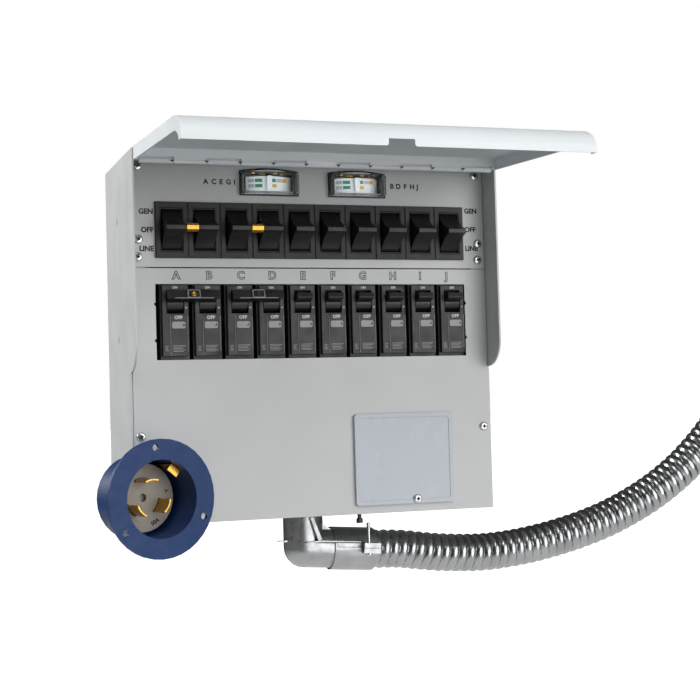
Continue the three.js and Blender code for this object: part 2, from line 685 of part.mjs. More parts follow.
// Hat-section rail: its web carries the breakers, its legs stand on the cabinet's back.
function breakerRail() {
  const middle = (WINDOW_TOP + WINDOW_FOOT) / 2;
  const top = middle + RAIL_HEIGHT / 2;
  const foot = middle - RAIL_HEIGHT / 2;
  const back = -STEEL - GAP;
  const left = -ROW_HALF;
  const right = ROW_HALF + BREAKER_OFFSET;
  return join(
    block(left, right, RAIL_FRONT, RAIL_FRONT + RAIL_STEEL, foot, top),
    block(left, right, RAIL_FRONT, back, top - RAIL_STEEL, top),
    block(left, right, RAIL_FRONT, back, foot, foot + RAIL_STEEL),
    block(left, right, back - RAIL_STEEL, back, top - RAIL_STEEL, top + FLANGE / 2),
    block(left, right, back - RAIL_STEEL, back, foot - FLANGE / 2, foot + RAIL_STEEL),
  );
}

add('breaker_rail', breakerRail(), FINISH.zinc());
GANGS.forEach((letter, i) => {
  add(`breaker_${letter}`, breaker(breakerX(i)), FINISH.breakerPlastic());
  const handle = add(
    `breaker_handle_${letter}`, breakerHandle(), FINISH.blackPlastic(),
    groupAt(breakerX(i), HANDLE_Y, HANDLE_Z),
  );
  handle.rotation.x = -HANDLE_TILT;
});
for (const [i, k] of TIED_PAIRS) {
  const middle = groupAt((breakerX(i) + breakerX(k)) / 2, HANDLE_Y, HANDLE_Z);
  const tie = add(`handle_tie_${GANGS[i]}${GANGS[k]}`, handleTie(), FINISH.blackPlastic(), middle);
  tie.rotation.x = -HANDLE_TILT;
}

// ---- panel meters

// Lens outline about the meter's centre: square foot, arched top.
function lensOutline(inset) {
  const half = LENS_HALF_WIDTH - inset;
  const foot = LENS_FOOT + inset;
  const shoulder = LENS_SHOULDER - inset;
  const crown = LENS_CROWN - inset;
  const shape = new THREE.Shape();
  shape.moveTo(-half, foot);
  shape.lineTo(half, foot);
  shape.lineTo(half, shoulder);
  shape.quadraticCurveTo(0, 2 * crown - shoulder, -half, shoulder);
  return shape;
}

function meterLens() {
  const back = -GAP;
  return cut(
    join(
      plate(lensOutline(0), back - LENS_FLANGE_THICK, back),
      plate(lensOutline(LENS_FLANGE), back - LENS_DEPTH, back),
    ),
    plate(lensOutline(LENS_FLANGE + LENS_WALL), back - LENS_DEPTH + LENS_WALL, 1),
  );
}

// Case whose front is the dial, curved about the pointer's pivot; the arm passes over its top.
function meterCase() {
  const radius = NEEDLE_PIVOT_DEPTH + DIAL_PROUD;
  const half = Math.asin(DIAL_HALF_WIDTH / radius);
  const front = new THREE.Shape();
  front.moveTo(DIAL_HALF_WIDTH, METER_DEPTH);
  front.lineTo(-DIAL_HALF_WIDTH, METER_DEPTH);
  front.absarc(0, NEEDLE_PIVOT_DEPTH, radius, -Math.PI / 2 - half, -Math.PI / 2 + half, false);
  return join(
    layer(front, DIAL_FOOT, DIAL_TOP, 12),
    block(
      -DIAL_HALF_WIDTH - 2, DIAL_HALF_WIDTH + 2, METER_DEPTH / 3, METER_DEPTH,
      DIAL_FOOT - 2, DIAL_TOP,
    ),
  );
}

// Pointer, about its upright pivot behind the dial.
function meterNeedle() {
  const tip = -NEEDLE_PIVOT_DEPTH - DIAL_PROUD - NEEDLE_STANDOFF - NEEDLE_THICK;
  const under = DIAL_TOP + CLEARANCE;
  const over = under + NEEDLE_THICK;
  return join(
    block(-NEEDLE_THICK, NEEDLE_THICK, tip, tip + NEEDLE_THICK, DIAL_FOOT + 1.5, over),
    block(-NEEDLE_THICK, NEEDLE_THICK, tip, 3, under, over),
    rod(AXIS_Z, 4, NEEDLE_THICK, new THREE.Vector3(0, 0, under), 16),
  );
}

for (const [name, side] of [['left', -1], ['right', 1]]) {
  const x = side * METER_SPREAD;
  const meter = groupAt(x, FACE, METER_Z);
  add(`meter_${name}_case`, meterCase(), FINISH.dialWhite(), meter);
  add(`meter_${name}_lens`, meterLens(), FINISH.clearPlastic(), meter);
  add(
    `meter_${name}_needle`, meterNeedle(), FINISH.blackPlastic(),
    groupAt(0, NEEDLE_PIVOT_DEPTH, 0, meter),
  );
}

// ---- elbow, about its bend centre, with the long leg along +X before it dips

const neckTop = ELBOW_DROP - GAP;
const origin = new THREE.Vector3();
const dip = new THREE.Matrix4().makeRotationY(ELBOW_DIP);

// A solid of the long leg, turned down by the dip.
function onLeg(body) {
  return placed(geometryOf(body), dip);
}

function elbowOuter() {
  return join(
    rod(AXIS_Z, ELBOW_NECK_R, neckTop, origin, 20),
    rod(AXIS_Z, NIPPLE_R, neckTop + GAP + NIPPLE_LENGTH, origin, 20),
    ball(ELBOW_NECK_R, origin, 20),
    onLeg(rod(AXIS_X, ELBOW_NECK_R, CLAMP_START + 1, origin, 20)),
    onLeg(rod(AXIS_X, CLAMP_R, ELBOW_LEG - CLAMP_START, new THREE.Vector3(CLAMP_START, 0, 0), 20)),
    cornerWeb(),
  );
}

// Thin web that fills the inside of the bend.
function cornerWeb() {
  const reach = ELBOW_NECK_R + 9;
  const web = new THREE.Shape();
  web.moveTo(0, 0);
  web.lineTo(reach, 0);
  web.lineTo(reach, ELBOW_NECK_R - 3);
  web.quadraticCurveTo(ELBOW_NECK_R, ELBOW_NECK_R, ELBOW_NECK_R - 1, reach);
  web.lineTo(0, reach);
  return plate(web, -5, 5);
}

function elbowBore() {
  const stop = ELBOW_LEG - SOCKET_DEPTH - GAP;
  return join(
    rod(AXIS_Z, ELBOW_BORE_R, neckTop + NIPPLE_LENGTH + 5, origin, 18),
    ball(ELBOW_BORE_R, origin, 18),
    onLeg(rod(AXIS_X, ELBOW_BORE_R, ELBOW_LEG + 5, origin, 18)),
    onLeg(rod(AXIS_X, CLAMP_BORE_R, SOCKET_DEPTH + 5, new THREE.Vector3(stop, 0, 0), 20)),
  );
}

// Ears of the clamp, front and back, on one side of the split.
function ears(z0, z1) {
  return [-1, 1].map((s) => onLeg(block(
    ELBOW_LEG - EAR_LENGTH, ELBOW_LEG,
    Math.min(s * (CLAMP_R - 1.2), s * (CLAMP_R + EAR_OUT)),
    Math.max(s * (CLAMP_R - 1.2), s * (CLAMP_R + EAR_OUT)), z0, z1,
  )));
}

// Half of the long leg that the cap takes, grown by a margin.
const capSpace = (margin) => onLeg(block(
  CLAMP_START + 2 - margin, ELBOW_LEG + 10, -60, 60, SPLIT_RISE - margin, 60,
));

function elbowBody() {
  const lowEars = ears(SPLIT_RISE - GAP / 2 - EAR_THICK, SPLIT_RISE - GAP / 2);
  return cut(join(cut(elbowOuter(), capSpace(GAP / 2)), ...lowEars), elbowBore());
}

function elbowCap() {
  const shell = onLeg(rod(AXIS_X, CLAMP_R, ELBOW_LEG - CLAMP_START, new THREE.Vector3(CLAMP_START, 0, 0), 20));
  const highEars = ears(SPLIT_RISE + GAP / 2, SPLIT_RISE + GAP / 2 + EAR_THICK);
  return cut(join(shell.intersect(capSpace(-GAP / 2)), ...highEars), elbowBore());
}

// Ring nut with driving lugs.
function locknut() {
  const outline = new THREE.Shape();
  const lugs = 8;
  for (let k = 0; k < lugs; k += 1) {
    const turn = (angle, r) => [Math.cos(angle) * r, Math.sin(angle) * r];
    const a = (k / lugs) * Math.PI * 2;
    const step = Math.PI / lugs;
    const corners = [
      turn(a, LOCKNUT_R), turn(a + step, LOCKNUT_R), turn(a + step, LOCKNUT_R - 2),
      turn(a + 2 * step, LOCKNUT_R - 2),
    ];
    corners.forEach(([u, v], n) => (k + n === 0 ? outline.moveTo(u, v) : outline.lineTo(u, v)));
  }
  outline.holes.push(disc(0, 0, NIPPLE_R + GAP));
  return layer(outline, 0, LOCKNUT_THICK, 10);
}

const elbow = groupAt(0, ELBOW_Y, ELBOW_Z);
add('elbow_body', elbowBody(), FINISH.diecast(), elbow);
add('elbow_cap', elbowCap(), FINISH.diecast(), elbow);
add('elbow_locknut', locknut(), FINISH.zinc(), groupAt(0, ELBOW_Y, BOTTOM + STEEL + GAP));

// ---- conduit and its far connector

const legPoint = (along) => new THREE.Vector3(
  along * Math.cos(ELBOW_DIP), ELBOW_Y, ELBOW_Z - along * Math.sin(ELBOW_DIP),
);

function conduitCurve() {
  const start = ELBOW_LEG - SOCKET_DEPTH;
  const points = [legPoint(start), legPoint(start + SOCKET_DEPTH / 2), legPoint(ELBOW_LEG)];
  CONDUIT_ROUTE.forEach(([x, z]) => points.push(new THREE.Vector3(x, ELBOW_Y, z)));
  return new THREE.CatmullRomCurve3(points, false, 'centripetal');
}

const route = conduitCurve();

function conduit() {
  const section = new THREE.Shape();
  for (let k = 0; k < CONDUIT_SIDES; k += 1) {
    const a = (k / CONDUIT_SIDES) * Math.PI * 2;
    const r = CONDUIT_OD / 2;
    if (k === 0) {
      section.moveTo(r, 0);
    } else {
      section.lineTo(r * Math.cos(a), r * Math.sin(a));
    }
  }
  return solid(new THREE.ExtrudeGeometry(section, { steps: CONDUIT_STEPS, bevelEnabled: false, extrudePath: route }));
}

// Straight connector, about the conduit's end and pointing along +X: socket, shoulder and nipple.
function whipConnector() {
  const from = new THREE.Vector3(-CONNECTOR_SOCKET, 0, 0);
  const bodyR = CLAMP_BORE_R + CONNECTOR_WALL;
  const shoulder = CONNECTOR_LENGTH - CONNECTOR_SOCKET;
  return cut(
    join(
      rod(AXIS_X, bodyR, CONNECTOR_LENGTH, from, 20),
      rod(AXIS_X, bodyR + 2, 5, new THREE.Vector3(shoulder - 5, 0, 0), 8),
      rod(AXIS_X, NIPPLE_R, shoulder + CONNECTOR_NIPPLE, origin, 20),
    ),
    rod(AXIS_X, CLAMP_BORE_R, CONNECTOR_SOCKET + 1 + GAP, new THREE.Vector3(-CONNECTOR_SOCKET - 1, 0, 0), 20),
    rod(AXIS_X, ELBOW_BORE_R, 2 * CONNECTOR_LENGTH + CONNECTOR_NIPPLE, new THREE.Vector3(-1, 0, 0), 18),
  );
}

add('conduit', conduit(), FINISH.zinc());
const tail = route.getPoint(1);
const heading = route.getTangent(1);
const connector = add('whip_connector', whipConnector(), FINISH.diecast(), groupAt(tail.x, tail.y, tail.z));
connector.quaternion.setFromUnitVectors(AXIS_X, heading);

// ---- flanged inlet, about the centre of its face: the cup opens along -Y, and depth is +Y

function ringPoint(radius, degrees) {
  const a = THREE.MathUtils.degToRad(degrees);
  return new THREE.Vector3(radius * Math.cos(a), 0, radius * Math.sin(a));
}

function inletHousing() {
  const shell = cut(
    join(
      rod(AXIS_Y, INLET_FLANGE_R, INLET_FLANGE_THICK, origin, 36),
      rod(AXIS_Y, CUP_R + CUP_WALL, CUP_DEPTH + CUP_WALL, origin, 28),
    ),
    rod(AXIS_Y, CUP_R, CUP_DEPTH + 1, new THREE.Vector3(0, -1, 0), 28),
  );
  const holes = INLET_HOLE_ANGLES.map((angle) => {
    const at = ringPoint(INLET_HOLE_CIRCLE_R, angle).setY(-1);
    return rod(AXIS_Y, INLET_HOLE_R, INLET_FLANGE_THICK + 2, at, 12);
  });
  return cut(shell, ...holes);
}

// Curved blade: an arc of sheet about the inlet's axis.
function bladeOutline(degrees, spare) {
  const middle = THREE.MathUtils.degToRad(degrees);
  const half = BLADE_SWEEP / 2 + spare / BLADE_CIRCLE_R;
  const shape = new THREE.Shape();
  shape.absarc(0, 0, BLADE_CIRCLE_R + BLADE_THICK / 2 + spare, middle - half, middle + half, false);
  shape.absarc(0, 0, BLADE_CIRCLE_R - BLADE_THICK / 2 - spare, middle + half, middle - half, true);
  return shape;
}

function inletInsert() {
  const back = CUP_DEPTH - GAP;
  const face = rod(AXIS_Y, INSERT_R, back - INSERT_DEPTH, new THREE.Vector3(0, INSERT_DEPTH, 0), 28);
  const hole = rod(AXIS_Y, INSERT_HOLE_R, 6, new THREE.Vector3(0, INSERT_DEPTH - 1, 0), 16);
  const slots = Object.values(BLADE_ANGLES).map((angle) => plate(
    bladeOutline(angle, GAP), INSERT_DEPTH - 1, INSERT_DEPTH + BLADE_FOOT + GAP,
  ));
  return cut(face, hole, ...slots);
}

// Ground clip: an L of brass strip that stands up from the cup's back beside the wall.
function groundClip() {
  const outer = CUP_R - 0.8;
  const strip = join(
    block(outer - 1.4, outer, INSERT_DEPTH - CLIP_REACH, CUP_DEPTH - GAP, -CLIP_WIDTH / 2, CLIP_WIDTH / 2),
    block(
      outer - 6.5, outer, INSERT_DEPTH - CLIP_REACH, INSERT_DEPTH - CLIP_REACH + 1.4,
      -CLIP_WIDTH / 2, CLIP_WIDTH / 2,
    ),
  );
  return placed(geometryOf(strip), new THREE.Matrix4().makeRotationY(-THREE.MathUtils.degToRad(CLIP_ANGLE)));
}

const inlet = groupAt(INLET_PLACE.x, INLET_PLACE.y, INLET_PLACE.z);
inlet.rotation.z = INLET_TURN;
add('inlet_housing', inletHousing(), FINISH.inletBlue(), inlet);
add('inlet_insert', inletInsert(), FINISH.insertPlastic(), inlet);
for (const [name, angle] of Object.entries(BLADE_ANGLES)) {
  const blade = plate(bladeOutline(angle, 0), INSERT_DEPTH - BLADE_REACH, INSERT_DEPTH + BLADE_FOOT);
  add(`inlet_blade_${name}`, blade, FINISH.brass(), inlet);
}
add('inlet_ground_clip', groundClip(), FINISH.brass(), inlet);

export default assembly;
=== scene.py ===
"""Manual transfer switch: the visible pieces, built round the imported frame."""

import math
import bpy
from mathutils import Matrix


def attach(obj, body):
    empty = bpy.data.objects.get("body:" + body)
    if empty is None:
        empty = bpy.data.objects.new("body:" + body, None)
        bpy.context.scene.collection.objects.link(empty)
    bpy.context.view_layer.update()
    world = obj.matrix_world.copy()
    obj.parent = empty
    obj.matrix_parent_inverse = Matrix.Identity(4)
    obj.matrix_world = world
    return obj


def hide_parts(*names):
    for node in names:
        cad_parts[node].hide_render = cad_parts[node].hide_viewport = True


bl_info = {
    "name": "Manual Transfer Switch",
    "version": (1, 0, 0),
    "blender": (4, 5, 0),
    "location": "3D View > Sidebar > Transfer Switch",
    "description": "Builds a wall-hung manual transfer switch with its lid, switches, breakers and inlet",
    "category": "Add Mesh",
}

import bmesh
import bpy
from bpy.props import FloatProperty, FloatVectorProperty, IntProperty, PointerProperty
from mathutils import Matrix, Vector

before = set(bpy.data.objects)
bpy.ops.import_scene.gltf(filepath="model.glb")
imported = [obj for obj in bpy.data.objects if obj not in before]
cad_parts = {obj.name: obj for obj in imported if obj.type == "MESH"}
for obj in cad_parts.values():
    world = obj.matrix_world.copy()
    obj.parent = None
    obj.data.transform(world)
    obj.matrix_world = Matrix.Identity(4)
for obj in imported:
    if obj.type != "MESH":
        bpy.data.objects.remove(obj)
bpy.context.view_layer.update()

MM = 0.001
GANGS = "abcdefghij"
PITCH = 28.6
GANG_X = [(i - 4.5) * PITCH for i in range(10)]
BREAKER_X = [x + 2 for x in GANG_X]
FACE_Y = -113.6
SWITCH_Z = 93.2
HANDLE_Y, HANDLE_Z = -105.4, 31.0
METER_X, METER_Z = 40.8, 136.2
NEEDLE_PIVOT_Y = FACE_Y + 34
DIAL_R = 34.6
LETTER_X = (-125.2, -96.3, -67.8, -39.4, -11.3, 16.5, 44.8, 73.7, 100.1, 126.1)
INLET_PLACE = Vector((-152.7, -172.0, -133.7))
INLET_TURN = math.radians(18.4)
ELBOW_Y, ELBOW_Z, ELBOW_LEG = -55.0, -191.4, 66.0
ELBOW_DIP = math.radians(4.2)
LID_PIN = Vector((0, -141.9, 148.2))
LID_DIP = math.radians(2.8)

# The conduit's route past the elbow's mouth, as x and z in metres.
CONDUIT_ROUTE = [
    (0.0950, -0.1980), (0.1150, -0.2009), (0.1300, -0.2029), (0.1455, -0.2044), (0.1660, -0.2056),
    (0.1810, -0.2058), (0.1955, -0.2052), (0.2190, -0.2029), (0.2433, -0.1992), (0.2662, -0.1945),
    (0.2895, -0.1886), (0.3131, -0.1812), (0.3360, -0.1720), (0.3580, -0.1615), (0.3790, -0.1493),
    (0.3990, -0.1355), (0.4170, -0.1203), (0.4340, -0.1037), (0.4490, -0.0860), (0.4615, -0.0675),
    (0.4705, -0.0540),
]

# Which groups of gangs move together, and the bodies that they ride on.
TIED = (("ab", "ab"), ("cd", "cd"))
SINGLE = "efghij"


def rocker_body(letter):
    pair = next((p for p, letters in TIED if letter in letters), None)
    return f"rockers_{pair}" if pair else f"rocker_{letter}"


def handle_body(letter):
    pair = next((p for p, letters in TIED if letter in letters), None)
    return f"breaker_handles_{pair}" if pair else f"breaker_handle_{letter}"


def srgb(*levels):
    """Linear colour from 0 to 255 display levels."""
    return tuple(
        c / 12.92 if c <= 0.04045 else ((c + 0.055) / 1.055) ** 2.4
        for c in (level / 255 for level in levels)
    )


# ------------------------------------------------------------------ sizes and colours


def length(label, about, default, low=0.0, high=0.1):
    return FloatProperty(
        name=label, description=about, default=default * MM, min=low, max=high,
        precision=5, unit="LENGTH",
    )


def colour(label, about, *levels):
    return FloatVectorProperty(
        name=label, description=about, default=srgb(*levels), size=3, min=0, max=1, subtype="COLOR",
    )


class TransferSwitchSizes(bpy.types.PropertyGroup):
    sheet_edge: length("Sheet edge", "Rounding of folded and cut sheet edges", 0.45)
    moulded_edge: length("Moulded edge", "Rounding of moulded plastic edges", 0.5)
    bezel_rise: length("Bezel rise", "How far each switch bezel stands off the bank", 0.9)
    screw_radius: length("Screw radius", "Radius of the panel screws' pan heads", 4.0)
    rib_step: length("Rib step", "Step of the conduit's spiral strip", 8.6)
    rib_depth: length("Rib depth", "Depth of the groove between the conduit's turns", 2.3)
    conduit_width: length("Conduit width", "Outside width of the conduit", 36.0)
    conduit_sides: IntProperty(
        name="Conduit sides", description="Sides of the conduit's section", default=44, min=12, max=96,
    )
    floor_drop: length("Floor drop", "Height of the wall face's centre above the floor", 420, high=3)


class TransferSwitchColours(bpy.types.PropertyGroup):
    cabinet: colour("Cabinet", "Baked enamel of the cabinet and panels", 190, 192, 192)
    lid: colour("Lid", "Baked enamel of the lid", 222, 227, 230)
    plate: colour("Access plate", "Glossy plate over the access opening", 184, 190, 198)
    bezel: colour("Bezels", "Switch bezels and bodies", 42, 41, 39)
    # The rocker black also paints shade: the strips inside the meters' lenses and the insides of the side
    # slots.
    rocker: colour("Rockers", "Rockers and breaker handles", 24, 24, 24)
    breaker: colour("Breakers", "Breaker mouldings", 44, 44, 43)
    # The label grey also paints highlights on the breakers' face edges and on the lip under each handle tie.
    label: colour("Labels", "Rating labels", 150, 151, 151)
    # The ink colour also paints the shade in the screws' cross recesses.
    ink: colour("Ink", "Printed legends", 30, 30, 32)
    mark: colour("Marks", "Pale marks on the breakers", 200, 200, 198)
    zinc: colour("Zinc", "Plated steel", 190, 191, 193)
    strip: colour("Conduit strip", "Galvanised strip of the conduit", 158, 159, 160)
    diecast: colour("Die-cast", "Elbow and connector", 158, 159, 160)
    brass: colour("Brass", "Ties, blades and clip", 196, 152, 68)
    dial: colour("Dial", "Meter dials", 236, 239, 240)
    scale_green: colour("Green scale", "Green part of the meters' scales", 40, 130, 92)
    scale_amber: colour("Amber scale", "Amber part of the meters' scales", 226, 170, 52)
    scale_grey: colour("Grey scale", "Grey bars of the meters' scales", 176, 180, 186)
    inlet: colour("Inlet", "Inlet housing", 22, 52, 100)
    insert: colour("Insert", "Blade carrier of the inlet", 150, 143, 133)
    floor: colour("Floor", "Studio floor", 242, 242, 242)


def sizes():
    return bpy.context.scene.transfer_switch_sizes


def colours():
    return bpy.context.scene.transfer_switch_colours


# ------------------------------------------------------------------ finishes


def new_finish(name, base, metallic=0.0, roughness=0.5, **sockets):
    """A new material, its node tree and its principled shader."""
    material = bpy.data.materials.new(name)
    material.use_nodes = True
    shader = material.node_tree.nodes["Principled BSDF"]
    shader.inputs["Base Color"].default_value = (*base, 1)
    shader.inputs["Metallic"].default_value = metallic
    shader.inputs["Roughness"].default_value = roughness
    for socket, value in sockets.items():
        shader.inputs[socket.replace("_", " ")].default_value = value
    material.diffuse_color = (*base, 1)
    return material, material.node_tree, shader


def noise(tree, scale, detail=3.0, roughness=0.5, stretch=(1, 1, 1)):
    """Noise on object coordinates, stretched along an axis by a mapping."""
    place = tree.nodes.new("ShaderNodeTexCoord")
    mapping = tree.nodes.new("ShaderNodeMapping")
    mapping.inputs["Scale"].default_value = stretch
    texture = tree.nodes.new("ShaderNodeTexNoise")
    texture.inputs["Scale"].default_value = scale
    texture.inputs["Detail"].default_value = detail
    texture.inputs["Roughness"].default_value = roughness
    tree.links.new(place.outputs["Object"], mapping.inputs["Vector"])
    tree.links.new(mapping.outputs["Vector"], texture.inputs["Vector"])
    return texture.outputs["Fac"]


def vary_colour(tree, shader, factor, base, spread):
    """Colour that moves a little darker and lighter than the base."""
    ramp = tree.nodes.new("ShaderNodeValToRGB")
    ramp.color_ramp.elements[0].position = 0.3
    ramp.color_ramp.elements[1].position = 0.7
    ramp.color_ramp.elements[0].color = (*(c * (1 - spread) for c in base), 1)
    ramp.color_ramp.elements[1].color = (*(min(1, c * (1 + spread)) for c in base), 1)
    tree.links.new(factor, ramp.inputs["Fac"])
    tree.links.new(ramp.outputs["Color"], shader.inputs["Base Color"])


def vary_roughness(tree, shader, factor, low, high):
    spread = tree.nodes.new("ShaderNodeMapRange")
    spread.inputs["From Min"].default_value = 0.3
    spread.inputs["From Max"].default_value = 0.7
    spread.inputs["To Min"].default_value = low
    spread.inputs["To Max"].default_value = high
    tree.links.new(factor, spread.inputs["Value"])
    tree.links.new(spread.outputs["Result"], shader.inputs["Roughness"])


def bump(tree, shader, factor, strength, depth_mm):
    relief = tree.nodes.new("ShaderNodeBump")
    relief.inputs["Strength"].default_value = strength
    relief.inputs["Distance"].default_value = depth_mm * MM
    tree.links.new(factor, relief.inputs["Height"])
    tree.links.new(relief.outputs["Normal"], shader.inputs["Normal"])


def enamel(name, base, roughness=0.42, peel=0.25, **sockets):
    """Baked enamel: orange peel, faint mottle, slightly uneven gloss."""
    material, tree, shader = new_finish(name, base, 0.0, roughness, **sockets)
    vary_colour(tree, shader, noise(tree, 9, 4), base, 0.025)
    vary_roughness(tree, shader, noise(tree, 30, 3), roughness - 0.05, roughness + 0.07)
    bump(tree, shader, noise(tree, 900, 2), peel, 0.05)
    return material


def moulding(name, base, roughness=0.5, grain=0.35, scale=2600, spread=0.06, **sockets):
    """Moulded plastic: fine grain and faint flow marks."""
    material, tree, shader = new_finish(name, base, 0.0, roughness, **sockets)
    vary_colour(tree, shader, noise(tree, 40, 3), base, spread)
    vary_roughness(tree, shader, noise(tree, 120, 2), roughness - 0.06, roughness + 0.08)
    bump(tree, shader, noise(tree, scale, 2), grain, 0.04)
    return material


def metal(name, base, roughness=0.3, streak=(1, 1, 1), scale=700, relief=0.2, spread=0.08, depth=0.03):
    """Bare or plated metal: streaks, stains and a rough patch here and there."""
    material, tree, shader = new_finish(name, base, 1.0, roughness)
    vary_colour(tree, shader, noise(tree, 60, 4), base, spread)
    vary_roughness(tree, shader, noise(tree, 160, 4, 0.6), roughness - 0.08, roughness + 0.12)
    bump(tree, shader, noise(tree, scale, 3, 0.6, streak), relief, depth)
    return material


FINISH = {}


def make_finishes():
    c = colours()
    FINISH.update(
        cabinet=enamel("cabinet_enamel", c.cabinet, 0.4),
        lid=enamel("lid_enamel", c.lid, 0.38),
        plate=enamel("access_plate_gloss", c.plate, 0.24, 0.08, Specular_IOR_Level=0.3),
        bezel=moulding("bezel_moulding", c.bezel, 0.5, Specular_IOR_Level=0.35),
        # This black also paints the shade strips in the meters and the shade in the side slots.
        rocker=moulding("rocker_moulding", c.rocker, 0.36, 0.25, Specular_IOR_Level=0.4),
        breaker=moulding("breaker_moulding", c.breaker, 0.5, 0.5, 1800, 0.1, Specular_IOR_Level=0.45),
        # Rating labels and small print, and the painted highlights on breaker edges and tie lips.
        label=moulding("label_grey_and_painted_highlights", c.label, 0.5, 0.1),
        # Printed legends, and the painted shade in the screws' recesses.
        ink=moulding("legend_ink", c.ink, 0.6, 0.1, 3000, 0.15),
        mark=moulding("pale_mark", c.mark, 0.6, 0.1, 3000, 0.1),
        zinc=metal("bright_zinc", c.zinc, 0.26),
        strip=metal("galvanised_strip", c.strip, 0.24, scale=420, relief=0.25, spread=0.12),
        diecast=metal("cast_fitting", c.diecast, 0.34, scale=520, relief=0.45, spread=0.1, depth=0.06),
        brass=metal("bright_brass", c.brass, 0.26, scale=900, relief=0.2),
        dial=moulding("dial_white", c.dial, 0.5, 0.05, 3000, 0.02),
        green=moulding("scale_green", c.scale_green, 0.5, 0.05, 3000, 0.1),
        amber=moulding("scale_amber", c.scale_amber, 0.5, 0.05, 3000, 0.1),
        grey=moulding("scale_grey", c.scale_grey, 0.5, 0.05, 3000, 0.1),
        inlet=moulding("inlet_moulding", c.inlet, 0.4, 0.15, 2200, 0.05, Specular_IOR_Level=0.25),
        insert=moulding("insert_moulding", c.insert, 0.6, 0.6, 2400, 0.08),
        lens=moulding(
            "clear_lens", (0.96, 0.98, 1.0), 0.05, 0.01, 200, 0.01,
            Transmission_Weight=1.0, IOR=1.3, Specular_IOR_Level=0.3,
        ),
    )


# ------------------------------------------------------------------ meshes, in millimetres


def solid_of(*nodes):
    """The CAD solids of some nodes, with their loose triangles merged into plain faces."""
    bm = bmesh.new()
    for node in nodes:
        bm.from_mesh(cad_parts[node].data)
    bmesh.ops.scale(bm, vec=(1 / MM,) * 3, verts=bm.verts)
    bmesh.ops.remove_doubles(bm, verts=bm.verts, dist=0.004)
    bmesh.ops.dissolve_limit(bm, angle_limit=math.radians(0.6), verts=bm.verts, edges=bm.edges)
    return bm


def add_prism(bm, outline, near, far, axis="y"):
    """Closed prism of a plane outline between two depths along an axis."""
    def at(u, v, w):
        return {"x": (w, u, v), "y": (u, w, v), "z": (u, v, w)}[axis]

    loops = [[bm.verts.new(at(u, v, w)) for u, v in outline] for w in (near, far)]
    n = len(outline)
    faces = [bm.faces.new(loops[0]), bm.faces.new(loops[1])]
    for i in range(n):
        k = (i + 1) % n
        faces.append(bm.faces.new((loops[0][i], loops[0][k], loops[1][k], loops[1][i])))
    bmesh.ops.recalc_face_normals(bm, faces=faces)
    return faces


def add_block(bm, x0, x1, y0, y1, z0, z1):
    return add_prism(bm, [(x0, z0), (x1, z0), (x1, z1), (x0, z1)], y0, y1)


def add_shells(bm, loops):
    """Closed ring of quads through a row of equal loops, the last joined to the first."""
    rows = [[bm.verts.new(p) for p in loop] for loop in loops]
    n = len(rows[0])
    faces = []
    for a, b in zip(rows, rows[1:] + rows[:1]):
        faces += [bm.faces.new((a[i], a[(i + 1) % n], b[(i + 1) % n], b[i])) for i in range(n)]
    bmesh.ops.recalc_face_normals(bm, faces=faces)


def add_lathe(bm, profile, sides=32, to_world=Matrix()):
    """Turned solid about local Z from a profile of (radius, height) that starts and ends on the axis."""
    rings = []
    for r, h in profile:
        if r < 1e-6:
            rings.append([bm.verts.new(to_world @ Vector((0, 0, h)))])
        else:
            rings.append([
                bm.verts.new(to_world @ Vector((
                    r * math.cos(2 * math.pi * i / sides), r * math.sin(2 * math.pi * i / sides), h,
                )))
                for i in range(sides)
            ])
    faces = []
    for a, b in zip(rings, rings[1:]):
        for i in range(sides):
            k = (i + 1) % sides
            if len(a) == 1:
                faces.append(bm.faces.new((a[0], b[i], b[k])))
            elif len(b) == 1:
                faces.append(bm.faces.new((a[i], a[k], b[0])))
            else:
                faces.append(bm.faces.new((a[i], a[k], b[k], b[i])))
    bmesh.ops.recalc_face_normals(bm, faces=faces)


def round_rect(width, height, radius, steps=4, centre=(0, 0)):
    """Outline of a rectangle with rounded corners."""
    points = []
    for k, (sx, sy) in enumerate(((1, -1), (1, 1), (-1, 1), (-1, -1))):
        cx, cy = sx * (width / 2 - radius), sy * (height / 2 - radius)
        for i in range(steps + 1):
            a = math.radians(-90 + 90 * k + 90 * i / steps)
            points.append((centre[0] + cx + radius * math.cos(a), centre[1] + cy + radius * math.sin(a)))
    return points


def circle(radius, sides=24, centre=(0, 0)):
    return [
        (centre[0] + radius * math.cos(2 * math.pi * i / sides),
         centre[1] + radius * math.sin(2 * math.pi * i / sides))
        for i in range(sides)
    ]


def link(name, mesh):
    obj = bpy.data.objects.new(name, mesh)
    bpy.context.scene.collection.objects.link(obj)
    return obj


def settle(obj, body, stands_for=()):
    """The piece rides on its body and stands for its CAD nodes, which it hides."""
    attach(obj, body)
    if stands_for:
        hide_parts(*stands_for)
    return obj


def piece(name, bm, finish, body, stands_for=(), edge=0.0, steps=2, smooth=34, limit=34):
    """A finished piece from a mesh in millimetres."""
    mesh = bpy.data.meshes.new(name)
    bm.to_mesh(mesh)
    bm.free()
    mesh.transform(Matrix.Scale(MM, 4))
    mesh.shade_smooth()
    mesh.set_sharp_from_angle(angle=math.radians(smooth))
    mesh.materials.append(FINISH[finish])
    obj = link(name, mesh)
    if edge:
        rounding = obj.modifiers.new("Edges", "BEVEL")
        rounding.width = edge * MM
        rounding.segments = steps
        rounding.limit_method = "ANGLE"
        rounding.angle_limit = math.radians(limit)
        rounding.harden_normals = True
    return settle(obj, body, stands_for)


# ------------------------------------------------------------------ geometry nodes


def socket_id(tree, name):
    return next(
        item.identifier for item in tree.interface.items_tree
        if item.item_type == "SOCKET" and item.in_out == "INPUT" and item.name == name
    )


